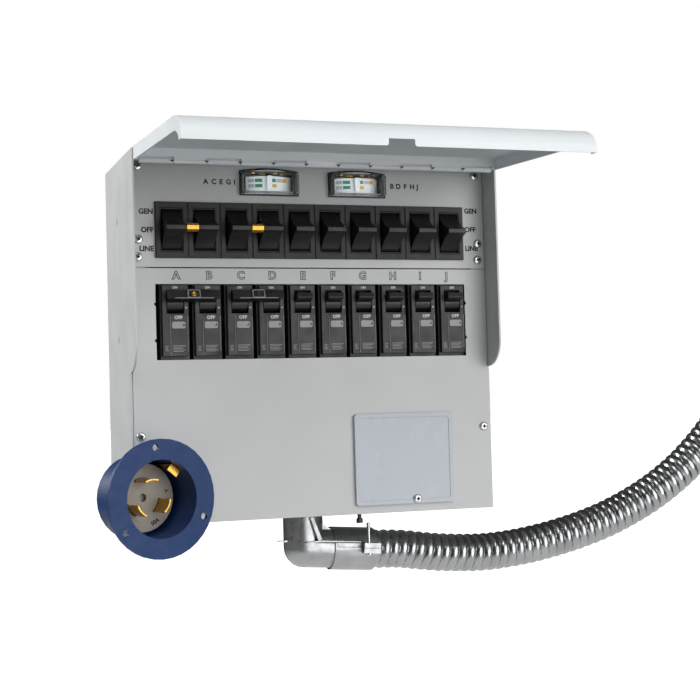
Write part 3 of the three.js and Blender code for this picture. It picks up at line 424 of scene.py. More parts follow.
def add_inputs(tree, wanted):
    tree.interface.new_socket(name="Geometry", in_out="INPUT", socket_type="NodeSocketGeometry")
    for name, kind in wanted:
        tree.interface.new_socket(name=name, in_out="INPUT", socket_type=kind)
    tree.interface.new_socket(name="Geometry", in_out="OUTPUT", socket_type="NodeSocketGeometry")


def result_mesh(obj, name):
    """Plain mesh of an object's evaluated geometry."""
    graph = bpy.context.evaluated_depsgraph_get()
    graph.update()
    mesh = bpy.data.meshes.new_from_object(obj.evaluated_get(graph), depsgraph=graph)
    mesh.name = name
    return mesh


def discard(*objects):
    for obj in objects:
        bpy.data.objects.remove(obj)


def repeat_tree():
    """A shape set at every point, facing along the point's own direction and turned by chance."""
    found = bpy.data.node_groups.get("set_out_shape")
    if found:
        return found
    tree = bpy.data.node_groups.new("set_out_shape", "GeometryNodeTree")
    add_inputs(tree, (
        ("Shape", "NodeSocketObject"), ("Size", "NodeSocketFloat"), ("Loose turn", "NodeSocketFloat"),
        ("Seed", "NodeSocketInt"), ("Finish", "NodeSocketMaterial"),
    ))
    new = tree.nodes.new
    given, made = new("NodeGroupInput"), new("NodeGroupOutput")
    shape = new("GeometryNodeObjectInfo")
    facing = new("GeometryNodeInputNamedAttribute")
    facing.data_type = "FLOAT_VECTOR"
    facing.inputs["Name"].default_value = "facing"
    align = new("FunctionNodeAlignRotationToVector")
    align.axis = "Z"
    chance = new("FunctionNodeRandomValue")
    chance.data_type = "FLOAT"
    spin = new("FunctionNodeAxisAngleToRotation")
    turned = new("FunctionNodeRotateRotation")
    turned.rotation_space = "LOCAL"
    setting = new("GeometryNodeInstanceOnPoints")
    real = new("GeometryNodeRealizeInstances")
    coat = new("GeometryNodeSetMaterial")
    join = tree.links.new
    join(given.outputs["Shape"], shape.inputs["Object"])
    join(facing.outputs[0], align.inputs["Vector"])
    join(given.outputs["Seed"], chance.inputs["Seed"])
    floats = [s for s in chance.inputs if s.type == "VALUE" and s.enabled]
    floats[0].default_value = 0.0
    join(given.outputs["Loose turn"], floats[1])
    join([s for s in chance.outputs if s.type == "VALUE" and s.enabled][0], spin.inputs["Angle"])
    join(align.outputs["Rotation"], turned.inputs["Rotation"])
    join(spin.outputs["Rotation"], turned.inputs["Rotate By"])
    join(given.outputs["Geometry"], setting.inputs["Points"])
    join(shape.outputs["Geometry"], setting.inputs["Instance"])
    join(turned.outputs["Rotation"], setting.inputs["Rotation"])
    join(given.outputs["Size"], setting.inputs["Scale"])
    join(setting.outputs["Instances"], real.inputs["Geometry"])
    join(real.outputs["Geometry"], coat.inputs["Geometry"])
    join(given.outputs["Finish"], coat.inputs["Material"])
    join(coat.outputs["Geometry"], made.inputs["Geometry"])
    return tree


def set_out(name, shape_bm, places, finish, body, loose_turn=0.0, seed=1, size=1.0, smooth=34):
    """One piece that repeats a shape, drawn facing +Z, at places given as (point, facing)."""
    shape_mesh = bpy.data.meshes.new(name + "_shape")
    shape_bm.to_mesh(shape_mesh)
    shape_bm.free()
    shape_mesh.transform(Matrix.Scale(MM, 4))
    shape_mesh.shade_smooth()
    shape_mesh.set_sharp_from_angle(angle=math.radians(smooth))
    shape = link(name + "_shape", shape_mesh)
    points = bpy.data.meshes.new(name + "_points")
    points.from_pydata([Vector(p) * MM for p, _ in places], [], [])
    facing = points.attributes.new("facing", "FLOAT_VECTOR", "POINT")
    facing.data.foreach_set("vector", [c for _, f in places for c in f])
    holder = link(name + "_points", points)
    tree = repeat_tree()
    work = holder.modifiers.new("Set out", "NODES")
    work.node_group = tree
    for socket, value in (
        ("Shape", shape), ("Size", size), ("Loose turn", loose_turn), ("Seed", seed),
        ("Finish", FINISH[finish]),
    ):
        work[socket_id(tree, socket)] = value
    mesh = result_mesh(holder, name)
    discard(holder, shape)
    return settle(link(name, mesh), body)


def spiral_tree():
    """A tube that follows a curve and is wound from an interlocked strip."""
    tree = bpy.data.node_groups.new("spiral_strip", "GeometryNodeTree")
    add_inputs(tree, (
        ("Width", "NodeSocketFloat"), ("Sides", "NodeSocketInt"), ("Step", "NodeSocketFloat"),
        ("Groove", "NodeSocketFloat"), ("Finish", "NodeSocketMaterial"),
    ))
    new, join = tree.nodes.new, tree.links.new

    def maths(operation, a, b=None):
        node = new("ShaderNodeMath")
        node.operation = operation
        for socket, value in zip(node.inputs, (a, b)):
            if value is None:
                continue
            if isinstance(value, (int, float)):
                socket.default_value = value
            else:
                join(value, socket)
        return node.outputs[0]

    given, made = new("NodeGroupInput"), new("NodeGroupOutput")
    path_place, ring_place = new("GeometryNodeSplineParameter"), new("GeometryNodeSplineParameter")
    along, round_ = new("GeometryNodeCaptureAttribute"), new("GeometryNodeCaptureAttribute")
    for node in (along, round_):
        node.capture_items.new("FLOAT", "place")
    join(given.outputs["Geometry"], along.inputs["Geometry"])
    join(path_place.outputs["Length"], along.inputs["place"])
    ring = new("GeometryNodeCurvePrimitiveCircle")
    join(given.outputs["Sides"], ring.inputs["Resolution"])
    join(maths("MULTIPLY", given.outputs["Width"], 0.5), ring.inputs["Radius"])
    join(ring.outputs["Curve"], round_.inputs["Geometry"])
    join(ring_place.outputs["Factor"], round_.inputs["place"])
    sweep = new("GeometryNodeCurveToMesh")
    sweep.inputs["Fill Caps"].default_value = True
    join(along.outputs["Geometry"], sweep.inputs["Curve"])
    join(round_.outputs["Geometry"], sweep.inputs["Profile Curve"])
    turns = maths("DIVIDE", along.outputs["place"], given.outputs["Step"])
    phase = maths("FRACT", maths("ADD", turns, round_.outputs["place"]))
    crown = maths("POWER", maths("SINE", maths("MULTIPLY", phase, math.pi)), 0.55)
    depth = maths("MULTIPLY", maths("SUBTRACT", crown, 1.0), given.outputs["Groove"])
    normal = new("GeometryNodeInputNormal")
    push = new("ShaderNodeVectorMath")
    push.operation = "SCALE"
    join(normal.outputs["Normal"], push.inputs[0])
    join(depth, push.inputs["Scale"])
    shift = new("GeometryNodeSetPosition")
    join(sweep.outputs["Mesh"], shift.inputs["Geometry"])
    join(push.outputs["Vector"], shift.inputs["Offset"])
    real, coat = new("GeometryNodeRealizeInstances"), new("GeometryNodeSetMaterial")
    join(shift.outputs["Geometry"], real.inputs["Geometry"])
    join(real.outputs["Geometry"], coat.inputs["Geometry"])
    join(given.outputs["Finish"], coat.inputs["Material"])
    join(coat.outputs["Geometry"], made.inputs["Geometry"])
    return tree


# ------------------------------------------------------------------ legends


def legend(name, entries, finish, body, raise_mm=0.05):
    """Printed words as one thin raised piece. Entries: (text, x, y, z, cap height, outlined, align, turn)."""
    all_words = bmesh.new()
    for text, x, y, z, height, outlined, align, turn in entries:
        words = bpy.data.curves.new(name, "FONT")
        words.body = text
        words.size = height / 0.72 * MM
        words.align_x = align
        words.align_y = "CENTER"
        words.resolution_u = 3
        if outlined:
            words.fill_mode = "NONE"
            words.bevel_depth = 0.32 * MM
            words.offset = 0.25 * MM
            words.bevel_resolution = 1
        else:
            words.offset = 0.062 * height * MM
            words.extrude = raise_mm * MM
        holder = link(name + "_words", words)
        mesh = result_mesh(holder, name)
        flat = Matrix.Scale(0.3, 4, (0, 0, 1)) if outlined else Matrix()
        mesh.transform(
            Matrix.Translation(Vector((x, y, z)) * MM) @ turn @ Matrix.Rotation(math.pi / 2, 4, "X") @ flat
        )
        all_words.from_mesh(mesh)
        discard(holder)
        bpy.data.meshes.remove(mesh)
    mesh = bpy.data.meshes.new(name)
    all_words.to_mesh(mesh)
    all_words.free()
    mesh.materials.clear()
    mesh.materials.append(FINISH[finish])
    for polygon in mesh.polygons:
        polygon.material_index = 0
    return settle(link(name, mesh), body)


# ------------------------------------------------------------------ the route of the whip


def leg_point(along):
    """A point on the axis of the elbow's long leg, in metres."""
    return Vector((
        along * math.cos(ELBOW_DIP), ELBOW_Y, ELBOW_Z - along * math.sin(ELBOW_DIP),
    )) * MM


def smooth_route(points, per_span):
    """Centripetal Catmull-Rom curve through the points."""
    p = [2 * points[0] - points[1], *points, 2 * points[-1] - points[-2]]
    out = []
    for i in range(1, len(p) - 2):
        a, b, c, d = p[i - 1:i + 3]
        t0 = 0.0
        t1 = t0 + (b - a).length ** 0.5
        t2 = t1 + (c - b).length ** 0.5
        t3 = t2 + (d - c).length ** 0.5
        last = i == len(p) - 3
        for k in range(per_span + (1 if last else 0)):
            t = t1 + (t2 - t1) * k / per_span
            a1 = a * ((t1 - t) / (t1 - t0)) + b * ((t - t0) / (t1 - t0))
            a2 = b * ((t2 - t) / (t2 - t1)) + c * ((t - t1) / (t2 - t1))
            a3 = c * ((t3 - t) / (t3 - t2)) + d * ((t - t2) / (t3 - t2))
            b1 = a1 * ((t2 - t) / (t2 - t0)) + a2 * ((t - t0) / (t2 - t0))
            b2 = a2 * ((t3 - t) / (t3 - t1)) + a3 * ((t - t1) / (t3 - t1))
            out.append(b1 * ((t2 - t) / (t2 - t1)) + b2 * ((t - t1) / (t2 - t1)))
    return out


def whip_route():
    points = [leg_point(46), leg_point(56), leg_point(66)]
    points += [Vector((x, ELBOW_Y * MM, z)) for x, z in CONDUIT_ROUTE]
    return smooth_route(points, 40)


# ------------------------------------------------------------------ operators


class MakeCamera(bpy.types.Operator):
    """Set the camera in front of the cabinet, a little to its left"""

    bl_idname = "transfer_switch.camera"
    bl_label = "Camera"

    def execute(self, context):
        yaw, pitch, roll = 0.32542, 0.04010, -0.02788
        ahead = Vector((
            math.sin(yaw) * math.cos(pitch), math.cos(yaw) * math.cos(pitch), math.sin(pitch),
        ))
        right = ahead.cross(Vector((0, 0, 1))).normalized()
        up = right.cross(ahead)
        right, up = (
            right * math.cos(roll) + up * math.sin(roll),
            up * math.cos(roll) - right * math.sin(roll),
        )
        data = bpy.data.cameras.new("Camera")
        data.lens = 73.31
        data.sensor_width = 36
        data.clip_start = 0.01
        camera = bpy.data.objects.new("Camera", data)
        context.scene.collection.objects.link(camera)
        turn = Matrix((right, up, -ahead)).transposed().to_4x4()
        camera.matrix_world = Matrix.Translation((-0.37623, -1.32009, -0.06351)) @ turn
        context.scene.camera = camera
        return {"FINISHED"}


class MakeWhip(bpy.types.Operator):
    """Wind the flexible conduit and fit its far connector"""

    bl_idname = "transfer_switch.whip"
    bl_label = "Conduit whip"

    def execute(self, context):
        s = sizes()
        route = whip_route()
        line = bpy.data.curves.new("conduit_line", "CURVE")
        line.dimensions = "3D"
        line.twist_mode = "MINIMUM"
        spline = line.splines.new("POLY")
        spline.points.add(len(route) - 1)
        for point, place in zip(spline.points, route):
            point.co = (*place, 1)
        holder = link("conduit_line", line)
        work = holder.modifiers.new("Spiral strip", "NODES")
        work.node_group = tree = spiral_tree()
        for socket, value in (
            ("Width", s.conduit_width), ("Sides", s.conduit_sides), ("Step", s.rib_step),
            ("Groove", s.rib_depth), ("Finish", FINISH["strip"]),
        ):
            work[socket_id(tree, socket)] = value
        mesh = result_mesh(holder, "conduit_strip")
        discard(holder)
        mesh.shade_smooth()
        mesh.set_sharp_from_angle(angle=math.radians(50))
        whip = settle(link("conduit_strip", mesh), "cabinet", ["conduit"])
        end = piece(
            "whip_end_connector", solid_of("whip_connector"), "diecast", "cabinet",
            ["whip_connector"], edge=0.5,
        )
        total = sum((b - a).length for a, b in zip(route, route[1:]))
        print("conduit length", round(total, 4))
        return {"FINISHED"}


class MakeCabinet(bpy.types.Operator):
    """Make the cabinet, its front panels and the access plate"""

    bl_idname = "transfer_switch.cabinet"
    bl_label = "Cabinet and panels"

    def execute(self, context):
        edge = sizes().sheet_edge / MM
        piece("cabinet_shell", solid_of("cabinet_box"), "cabinet", "cabinet",
              ["cabinet_box"], edge=edge)
        # Painted shade: thin black plates stand in for the shade inside two small slots in the left side.
        bm = bmesh.new()
        for y, z in ((-60.7, 106.6), (-57.9, 1.8)):
            add_prism(bm, round_rect(1.6, 5.4, 0.7, centre=(y, z)), -166.35, -166, "x")
        piece("side_slots", bm, "rocker", "cabinet")
        bm = bmesh.new()
        for outside, inside in ((17.2, 16.4), (12.4, 11.6)):
            add_shells(bm, [
                [(u, v, w) for u, v in circle(r, 48)]
                for r, w in ((outside, -0.1), (outside, 0.25), (inside, 0.25), (inside, -0.1))
            ])
        add_prism(bm, round_rect(1.6, 4.2, 0.7), -0.1, 0.2, "z")
        spots = [((x, -60, -159), (0, 0, -1)) for x in (-95, 108)]
        spots += [((166.25, -56, z), (1, 0, 0)) for z in (-118, -66)]
        set_out("knockouts", bm, spots, "cabinet", "cabinet")
        for side in ("upper", "lower"):
            piece(f"{side}_front_panel", solid_of(f"{side}_panel"), "cabinet", "cabinet",
                  [f"{side}_panel"], edge=edge * 0.8)
        piece("access_cover", solid_of("access_plate"), "plate", "cabinet",
              ["access_plate"], edge=0.55, steps=3)
        return {"FINISHED"}


class MakeLid(bpy.types.Operator):
    """Make the lid and its piano hinge"""

    bl_idname = "transfer_switch.lid"
    bl_label = "Lid and hinge"

    def execute(self, context):
        piece("lid_shell", solid_of("lid"), "lid", "lid", ["lid"],
              edge=sizes().sheet_edge / MM, steps=3)
        piece("hinge_fixed_leaf", solid_of("hinge_leaf"), "lid", "cabinet",
              ["hinge_leaf"], edge=0.2)
        bm = bmesh.new()
        add_prism(bm, [(-2.4, 0.8), (2.4, 0.8), (0, -0.9)], -0.1, 0.12, "z")
        seams = [(-162.25 + 29.5 * i, LID_PIN.y - 2.5, 147.9) for i in range(1, 11)]
        set_out("hinge_seams", bm, [(seam, (0, -1, 0)) for seam in seams], "ink", "cabinet")
        return {"FINISHED"}


def bezel_shape():
    rise = sizes().bezel_rise / MM
    bm = bmesh.new()
    rings = (
        (27.9, 48.5, 0.7, -0.2), (27.9, 48.5, 0.7, rise - 0.35), (27.3, 47.9, 0.5, rise),
        (20.2, 38.6, 0.5, rise), (18.9, 37.2, 0.4, rise - 0.9), (18.9, 37.2, 0.4, -0.2),
    )
    add_shells(bm, [
        [(x, y, z) for x, y in round_rect(w, h, r)] for w, h, r, z in rings
    ])
    return bm


def rocker_outline():
    """Outline in y and z about the pivot."""
    reach, base, ridge = 23.0, 17.5, 2.2
    waist = (-reach * 0.39, base * 0.34)

    def face(sign):
        start, end = Vector((0, base * sign)), Vector((-reach + 0.5, ridge * sign))
        middle = Vector((waist[0], waist[1] * sign))
        steps = 16
        return [
            tuple(start * (1 - t) ** 2 + middle * 2 * t * (1 - t) + end * t * t)
            for t in (i / steps for i in range(steps + 1))
        ]

    upper, lower = face(1), face(-1)
    back = math.asin(8 / base)
    arcs = [
        (base * math.cos(a), base * math.sin(a))
        for a in [-math.pi / 2 + back * i / 5 for i in range(1, 6)]
        + [math.pi / 2 - back * i / 5 for i in range(5, 0, -1)]
    ]
    return (
        upper + [(-reach, ridge - 0.5), (-reach, -ridge + 0.5)] + lower[::-1] + arcs
    )


class MakeSwitches(bpy.types.Operator):
    """Make the switch bank, its bezels, the rockers and their brass ties"""

    bl_idname = "transfer_switch.switches"
    bl_label = "Rocker switches"

    def execute(self, context):
        edge = sizes().moulded_edge / MM
        piece("switch_bodies", solid_of("switch_bank"), "bezel", "cabinet",
              ["switch_bank"], edge=0.25)
        front = FACE_Y - 2.3
        set_out("switch_bezels", bezel_shape(), [((x, front, SWITCH_Z), (0, -1, 0)) for x in GANG_X],
                "bezel", "cabinet")
        for letter, x in zip(GANGS, GANG_X):
            bm = bmesh.new()
            outline = [(FACE_Y + y, SWITCH_Z + z) for y, z in rocker_outline()]
            add_prism(bm, outline, x - 8.5, x + 8.5, "x")
            piece(f"rocker_{letter}_moulding", bm, "rocker", rocker_body(letter),
                  [f"rocker_{letter}"], edge=edge, smooth=25, limit=25)
        for pair, _ in TIED:
            piece(f"brass_tie_{pair}", solid_of(f"rocker_tie_{pair}"), "brass", f"rockers_{pair}",
                  [f"rocker_tie_{pair}"], edge=0.5)
        return {"FINISHED"}


def face_trim_shape():
    """Raised right part of a breaker's face, drawn facing +Z about the handle's pivot."""
    bm = bmesh.new()
    top, foot = -11.2, -45.6
    outline = [
        (-4.4, foot + 3.4), (-3.4, foot + 3.4), (-3.4, foot + 2.2), (9.4, foot + 2.2),
        (9.4, foot + 3.4), (10.6, foot + 3.4), (10.6, top), (-4.4, top),
    ]
    add_prism(bm, outline, -0.1, 0.5, "z")
    bmesh.ops.bevel(
        bm, geom=[e for e in bm.edges if all(v.co.z > 0.4 for v in e.verts)],
        offset=0.3, segments=1, affect="EDGES",
    )
    return bm


HANDLE_AHEAD = Vector((0, -math.cos(math.radians(17)), math.sin(math.radians(17))))


def tie_front(node, x):
    """Middle of a handle tie's front, which faces the way the raised handles point."""
    pivot = Vector((0, HANDLE_Y, HANDLE_Z))
    reach = max((v.co / MM - pivot).dot(HANDLE_AHEAD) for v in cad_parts[node].data.vertices)
    return Vector((x, 0, 0)) + pivot + HANDLE_AHEAD * reach


class MakeBreakers(bpy.types.Operator):
    """Make the breakers, their handles, handle ties and face trims"""

    bl_idname = "transfer_switch.breakers"
    bl_label = "Breakers"

    def execute(self, context):
        edge = sizes().moulded_edge / MM
        for letter in GANGS:
            piece(f"breaker_{letter}_moulding", solid_of(f"breaker_{letter}"), "breaker", "cabinet",
                  [f"breaker_{letter}"], edge=0.4)
            piece(f"breaker_{letter}_lever", solid_of(f"breaker_handle_{letter}"), "rocker",
                  handle_body(letter), [f"breaker_handle_{letter}"], edge=edge)
        front = FACE_Y - 0.8
        facing = (0, -1, 0)
        set_out("breaker_face_trims", face_trim_shape(),
                [((x, front, HANDLE_Z), facing) for x in BREAKER_X], "breaker", "cabinet")
        bm = bmesh.new()
        add_prism(bm, round_rect(11.7, 5.8, 1.4), -0.1, 0.25, "z")
        set_out("rating_labels", bm,
                [((x + 2.6, front - 0.5, 11.1), facing) for x in BREAKER_X], "label", "cabinet")
        bm = bmesh.new()
        add_prism(bm, [(-0.9, 0), (0.9, 0.8), (0.9, -0.8)], -0.05, 0.1, "z")
        set_out("slot_pointers", bm,
                [((x + 9.3, front, 26.0), facing) for x in BREAKER_X], "mark", "cabinet")
        # Painted highlight: pale strips along the breaker face's edges stand in for the light caught by those
        # edges.
        bm = bmesh.new()
        add_block(bm, -4.75, -4.45, -45, -12, -0.1, 0.62)
        add_block(bm, 10.35, 10.6, -43, -12, -0.1, 0.62)
        set_out("breaker_edge_lines", bm,
                [((x, front, HANDLE_Z), facing) for x in BREAKER_X], "label", "cabinet")
        bm = bmesh.new()
        for row in range(5):
            high = -37.6 - row * 1.25
            add_block(bm, -2.6, 8.6 - (row * 37 % 5) * 0.7, high - 0.2, high + 0.2, -0.1, 0.53)
        for row in range(4):
            high = -38.2 - row * 1.25
            add_block(bm, -9.4, -6.2 - (row * 23 % 3) * 0.5, high - 0.2, high + 0.2, -0.1, 0.06)
        set_out("breaker_small_print", bm,
                [((x, front, HANDLE_Z), facing) for x in BREAKER_X], "label", "cabinet")
        for pair, letters in TIED:
            body = f"breaker_handles_{pair}"
            middle = sum(BREAKER_X[GANGS.index(letter)] for letter in letters) / 2
            spot = [(tie_front(f"handle_tie_{pair}", middle), HANDLE_AHEAD)]
            bm = bmesh.new()
            outer, inner = round_rect(11, 7.4, 1.3), round_rect(9.8, 6.2, 0.8)
            add_shells(bm, [
                [(u, v, w) for u, v in ring]
                for ring, w in ((outer, -0.1), (outer, 0.25), (inner, 0.25), (inner, -0.1))
            ])
            # Painted highlight: a pale bar under the clamp stands in for the light caught by the front edge
            # of the lip under the tie.
            add_prism(bm, round_rect(34, 0.6, 0.2, centre=(0, -3.9)), -0.1, 0.2, "z")
            set_out(f"handle_clamp_{pair}", bm, spot, "label", body)
            bm = bmesh.new()
            add_lathe(bm, [(0, -0.2), (2.3, -0.2), (2.3, 0.4), (1.8, 0.8), (1.2, 0.8), (0, -0.1)], 20)
            set_out(f"handle_clamp_screw_{pair}", bm, spot, "brass" if pair == "ab" else "bezel",
                    body)
            piece(f"handle_bar_{pair}", solid_of(f"handle_tie_{pair}"), "rocker", body,
                  [f"handle_tie_{pair}"], edge=0.5)
        return {"FINISHED"}


def dial_arc(x, start, end, radius, steps=6):
    """Plan view of part of the dial, which curves about the needle's pivot."""
    across = [start + (end - start) * i / steps for i in range(steps + 1)]
    return [(x + u, NEEDLE_PIVOT_Y - math.sqrt(radius ** 2 - u * u)) for u in across]


def lens_outline(x, half):
    """Front view of the lens's foot: flat below, arched above."""
    low = METER_Z - half + 15.2
    arch = [
        (x + half * (1 - i / 6), METER_Z + half - 17.2 + 2.5 * (1 - (1 - i / 6) ** 2))
        for i in range(13)
    ]
    return [(x - half, low), (x + half, low), *arch]


def meter_parts(side, x):
    """Scale bars, painted shade bar and strips, rim and brass movement of one meter."""
    rows = {
        "grey": [(-17.5, -12.4, 2.2), (-17.5, -12.4, -2.6), (7.8, 13.0, 2.2)],
        "green": [(-11.8, -5.6, 2.2), (-11.8, -5.6, -2.6), (3.0, 7.0, 2.2)],
        "amber": [(2.8, 7.4, -2.6), (13.4, 17.4, 2.2)],
    }
    for name, bars in rows.items():
        bm = bmesh.new()
        for x0, x1, z in bars:
            outline = dial_arc(x, x0, x1, DIAL_R + 0.12) + dial_arc(x, x1, x0, DIAL_R - 0.1)
            add_prism(bm, outline, METER_Z + z - 1.5, METER_Z + z + 1.5, "z")
        piece(f"meter_{side}_scale_{name}", bm, name, "cabinet")
    # Painted shade: a black bar above the dial and black strips at its sides stand in for the shade in the
    # void above the dial and the dark edges of the lens's side walls.
    bm = bmesh.new()
    add_block(bm, x - 22, x + 22, FACE_Y - 0.9, FACE_Y + 0.5, METER_Z + 6.2, METER_Z + 9.4)
    for sign in (-1, 1):
        near, far = sorted((x + sign * 22.2, x + sign * 24.3))
        add_block(bm, near, far, FACE_Y - 6, FACE_Y + 0.5, METER_Z - 9.5, METER_Z + 8.6)
    piece(f"meter_{side}_dark_surround", bm, "rocker", "cabinet", edge=0.3)
    bm = bmesh.new()
    outer, inner = lens_outline(x, 27.2), lens_outline(x, 25.7)
    front, back = FACE_Y - 2.5, FACE_Y - 1.75
    add_shells(bm, [
        [(u, y, w) for u, w in ring]
        for ring, y in ((outer, back), (outer, front), (inner, front), (inner, back))
    ])
    piece(f"meter_{side}_rim", bm, "rocker", "cabinet", edge=0.3)
    bm = bmesh.new()
    for x0, x1, z in ((-9, -3, 7.4), (4, 8, 8.0), (11, 13, 7.2), (-15, -12.5, 8.2)):
        add_block(bm, x + x0, x + x1, FACE_Y - 1.5, FACE_Y - 0.6, METER_Z + z - 0.5, METER_Z + z + 0.5)
    piece(f"meter_{side}_movement", bm, "brass", "cabinet", edge=0.15)


class MakeMeters(bpy.types.Operator):
    """Make the two panel meters"""

    bl_idname = "transfer_switch.meters"
    bl_label = "Panel meters"

    def execute(self, context):
        for side, x in (("left", -METER_X), ("right", METER_X)):
            piece(f"meter_{side}_body", solid_of(f"meter_{side}_case"), "dial", "cabinet",
                  [f"meter_{side}_case"], edge=0.3)
            meter_parts(side, x)
            cover = piece(f"meter_{side}_cover", solid_of(f"meter_{side}_lens"), "lens", "cabinet",
                          [f"meter_{side}_lens"], edge=0.55, steps=3)
            cover.visible_shadow = False
            bm = bmesh.new()
            y = FACE_Y - 0.6 - 2.7 - 0.9
            add_prism(bm, round_rect(4.6, 12.6, 0.6, centre=(x, METER_Z - 0.6)), y - 0.25, y + 0.1)
            piece(f"meter_{side}_pointer_band", bm, "dial", f"meter_{side}_needle",
                  edge=0.08)
        return {"FINISHED"}


class MakeElbow(bpy.types.Operator):
    """Make the clamp elbow under the cabinet"""

    bl_idname = "transfer_switch.elbow"
    bl_label = "Elbow"

    def execute(self, context):
        piece("elbow_casting", solid_of("elbow_body"), "diecast", "cabinet",
              ["elbow_body"], edge=0.6)
        piece("elbow_clamp_cap", solid_of("elbow_cap"), "diecast", "cabinet",
              ["elbow_cap"], edge=0.6)
        bm = bmesh.new()
        add_prism(bm, [(0.7, -162.6), (4.5, -162.8), (12.1, -183.0), (8.2, -184.6)], -76.2, -60)
        add_prism(bm, [(-3.7, -184.7), (11.6, -183.6), (49.7, -186.6), (49.6, -187.9), (11.5, -185.5), (-3.7, -185.7)], -76.0, -66)
        piece("elbow_rib", bm, "diecast", "cabinet", edge=0.7)
        bm = bmesh.new()
        out = Matrix.Translation((-19.8, -60, -184.1)) @ Matrix.Rotation(-math.pi / 2, 4, "Y")
        add_lathe(bm, [(0, -6), (1.5, -6), (1.5, 0), (0.8, 0.4), (0.8, 6.5), (0, 6.8)], 14, out)
        up = Matrix.Translation((55.2, -80, -200))
        add_lathe(bm, [(0, 0), (2.4, 0.4), (3.6, 1.6), (3.6, 3), (1.7, 3), (1.7, 30), (0, 30.6)], 18, up)
        piece("elbow_clamp_screws", bm, "zinc", "cabinet", smooth=40)
        bm = bmesh.new()
        add_lathe(bm, [(0, 0), (3.2, 0), (3.2, 4.2), (2, 4.2), (2, 11), (0, 11)], 6,
                  Matrix.Translation((46.9, -80, -169.5)))
        piece("floor_bolt", bm, "rocker", "cabinet", edge=0.3)
        return {"FINISHED"}


def inlet_place():
    return Matrix.Translation(INLET_PLACE) @ Matrix.Rotation(INLET_TURN, 4, "Z")


class MakeInlet(bpy.types.Operator):
    """Make the flanged locking inlet"""

    bl_idname = "transfer_switch.inlet"
    bl_label = "Flanged inlet"

    def execute(self, context):
        piece("inlet_cup", solid_of("inlet_housing"), "inlet", "inlet",
              ["inlet_housing"], edge=0.5)
        piece("blade_carrier", solid_of("inlet_insert"), "insert", "inlet",
              ["inlet_insert"], edge=0.3)
        for name in ("top", "right", "left"):
            piece(f"brass_blade_{name}", solid_of(f"inlet_blade_{name}"), "brass", "inlet",
                  [f"inlet_blade_{name}"], edge=0.3)
        piece("earth_clip", solid_of("inlet_ground_clip"), "brass", "inlet",
              ["inlet_ground_clip"], edge=0.3)
        entries = []
        for text, angle in (("50A", -62), ("15", -10), ("X", 135), ("Y", 12), ("W", 205)):
            a = math.radians(angle)
            place = inlet_place() @ Vector((23.4 * math.cos(a), 32.94, 23.4 * math.sin(a)))
            turn = Matrix.Rotation(INLET_TURN, 4, "Z") @ Matrix.Rotation(-math.pi / 2 - a, 4, "Y")
            entries.append((text, *place, 3.4, False, "CENTER", turn))
        legend("inlet_ratings", entries, "ink", "inlet")
        return {"FINISHED"}


def screw_shape(radius, height=2.4):
    """Pan head with a cross recess, drawn facing +Z."""
    bm = bmesh.new()
    profile = [(0, -0.6), (radius * 0.98, -0.6), (radius, 0.25)]
    for i in range(1, 7):
        a = math.radians(15 * i)
        profile.append((
            radius * (0.62 + 0.38 * math.cos(a)), 0.25 + (height - 0.25) * math.sin(a) * 0.92,
        ))
    profile += [(radius * 0.34, height), (radius * 0.30, height - 1.1), (0, height - 1.3)]
    add_lathe(bm, profile, 28)
    return bm


def screw_recess_shade(radius, height=2.4):
    """Dark cross painted into the recess of a screw, standing in for the shade inside the recess."""
    bm = bmesh.new()
    arm, half = radius * 0.52, radius * 0.11
    for outline in (
        [(-arm, -half), (arm, -half), (arm, half), (-arm, half)],
        [(-half, -arm), (half, -arm), (half, arm), (-half, arm)],
    ):
        add_prism(bm, outline, height - 0.6, height + 0.02, "z")
    return bm


class MakeScrews(bpy.types.Operator):
    """Set out the screws of the panels and the access plate"""

    bl_idname = "transfer_switch.screws"
    bl_label = "Screws"

    def execute(self, context):
        radius = sizes().screw_radius / MM
        places = [
            (-157.1, 148.1), (-157.4, 84.9), (-158.0, 69.9), (156.4, 147.0), (158.1, 84.2),
            (157.4, 69.1), (-158.4, -83.7), (158.4, -84.2),
        ]
        front = (0, -1, 0)
        spots = [((x, FACE_Y, z), front) for x, z in places]
        spots.append(((90.1, FACE_Y - 3.3, -147.4), front))
        set_out("panel_screws", screw_shape(radius), spots, "zinc", "cabinet", 1.5, 3)
        # Painted shade: a dark cross in each screw's recess.
        set_out("panel_screw_recesses", screw_recess_shade(radius), spots, "ink", "cabinet", 1.5, 3)
        return {"FINISHED"}


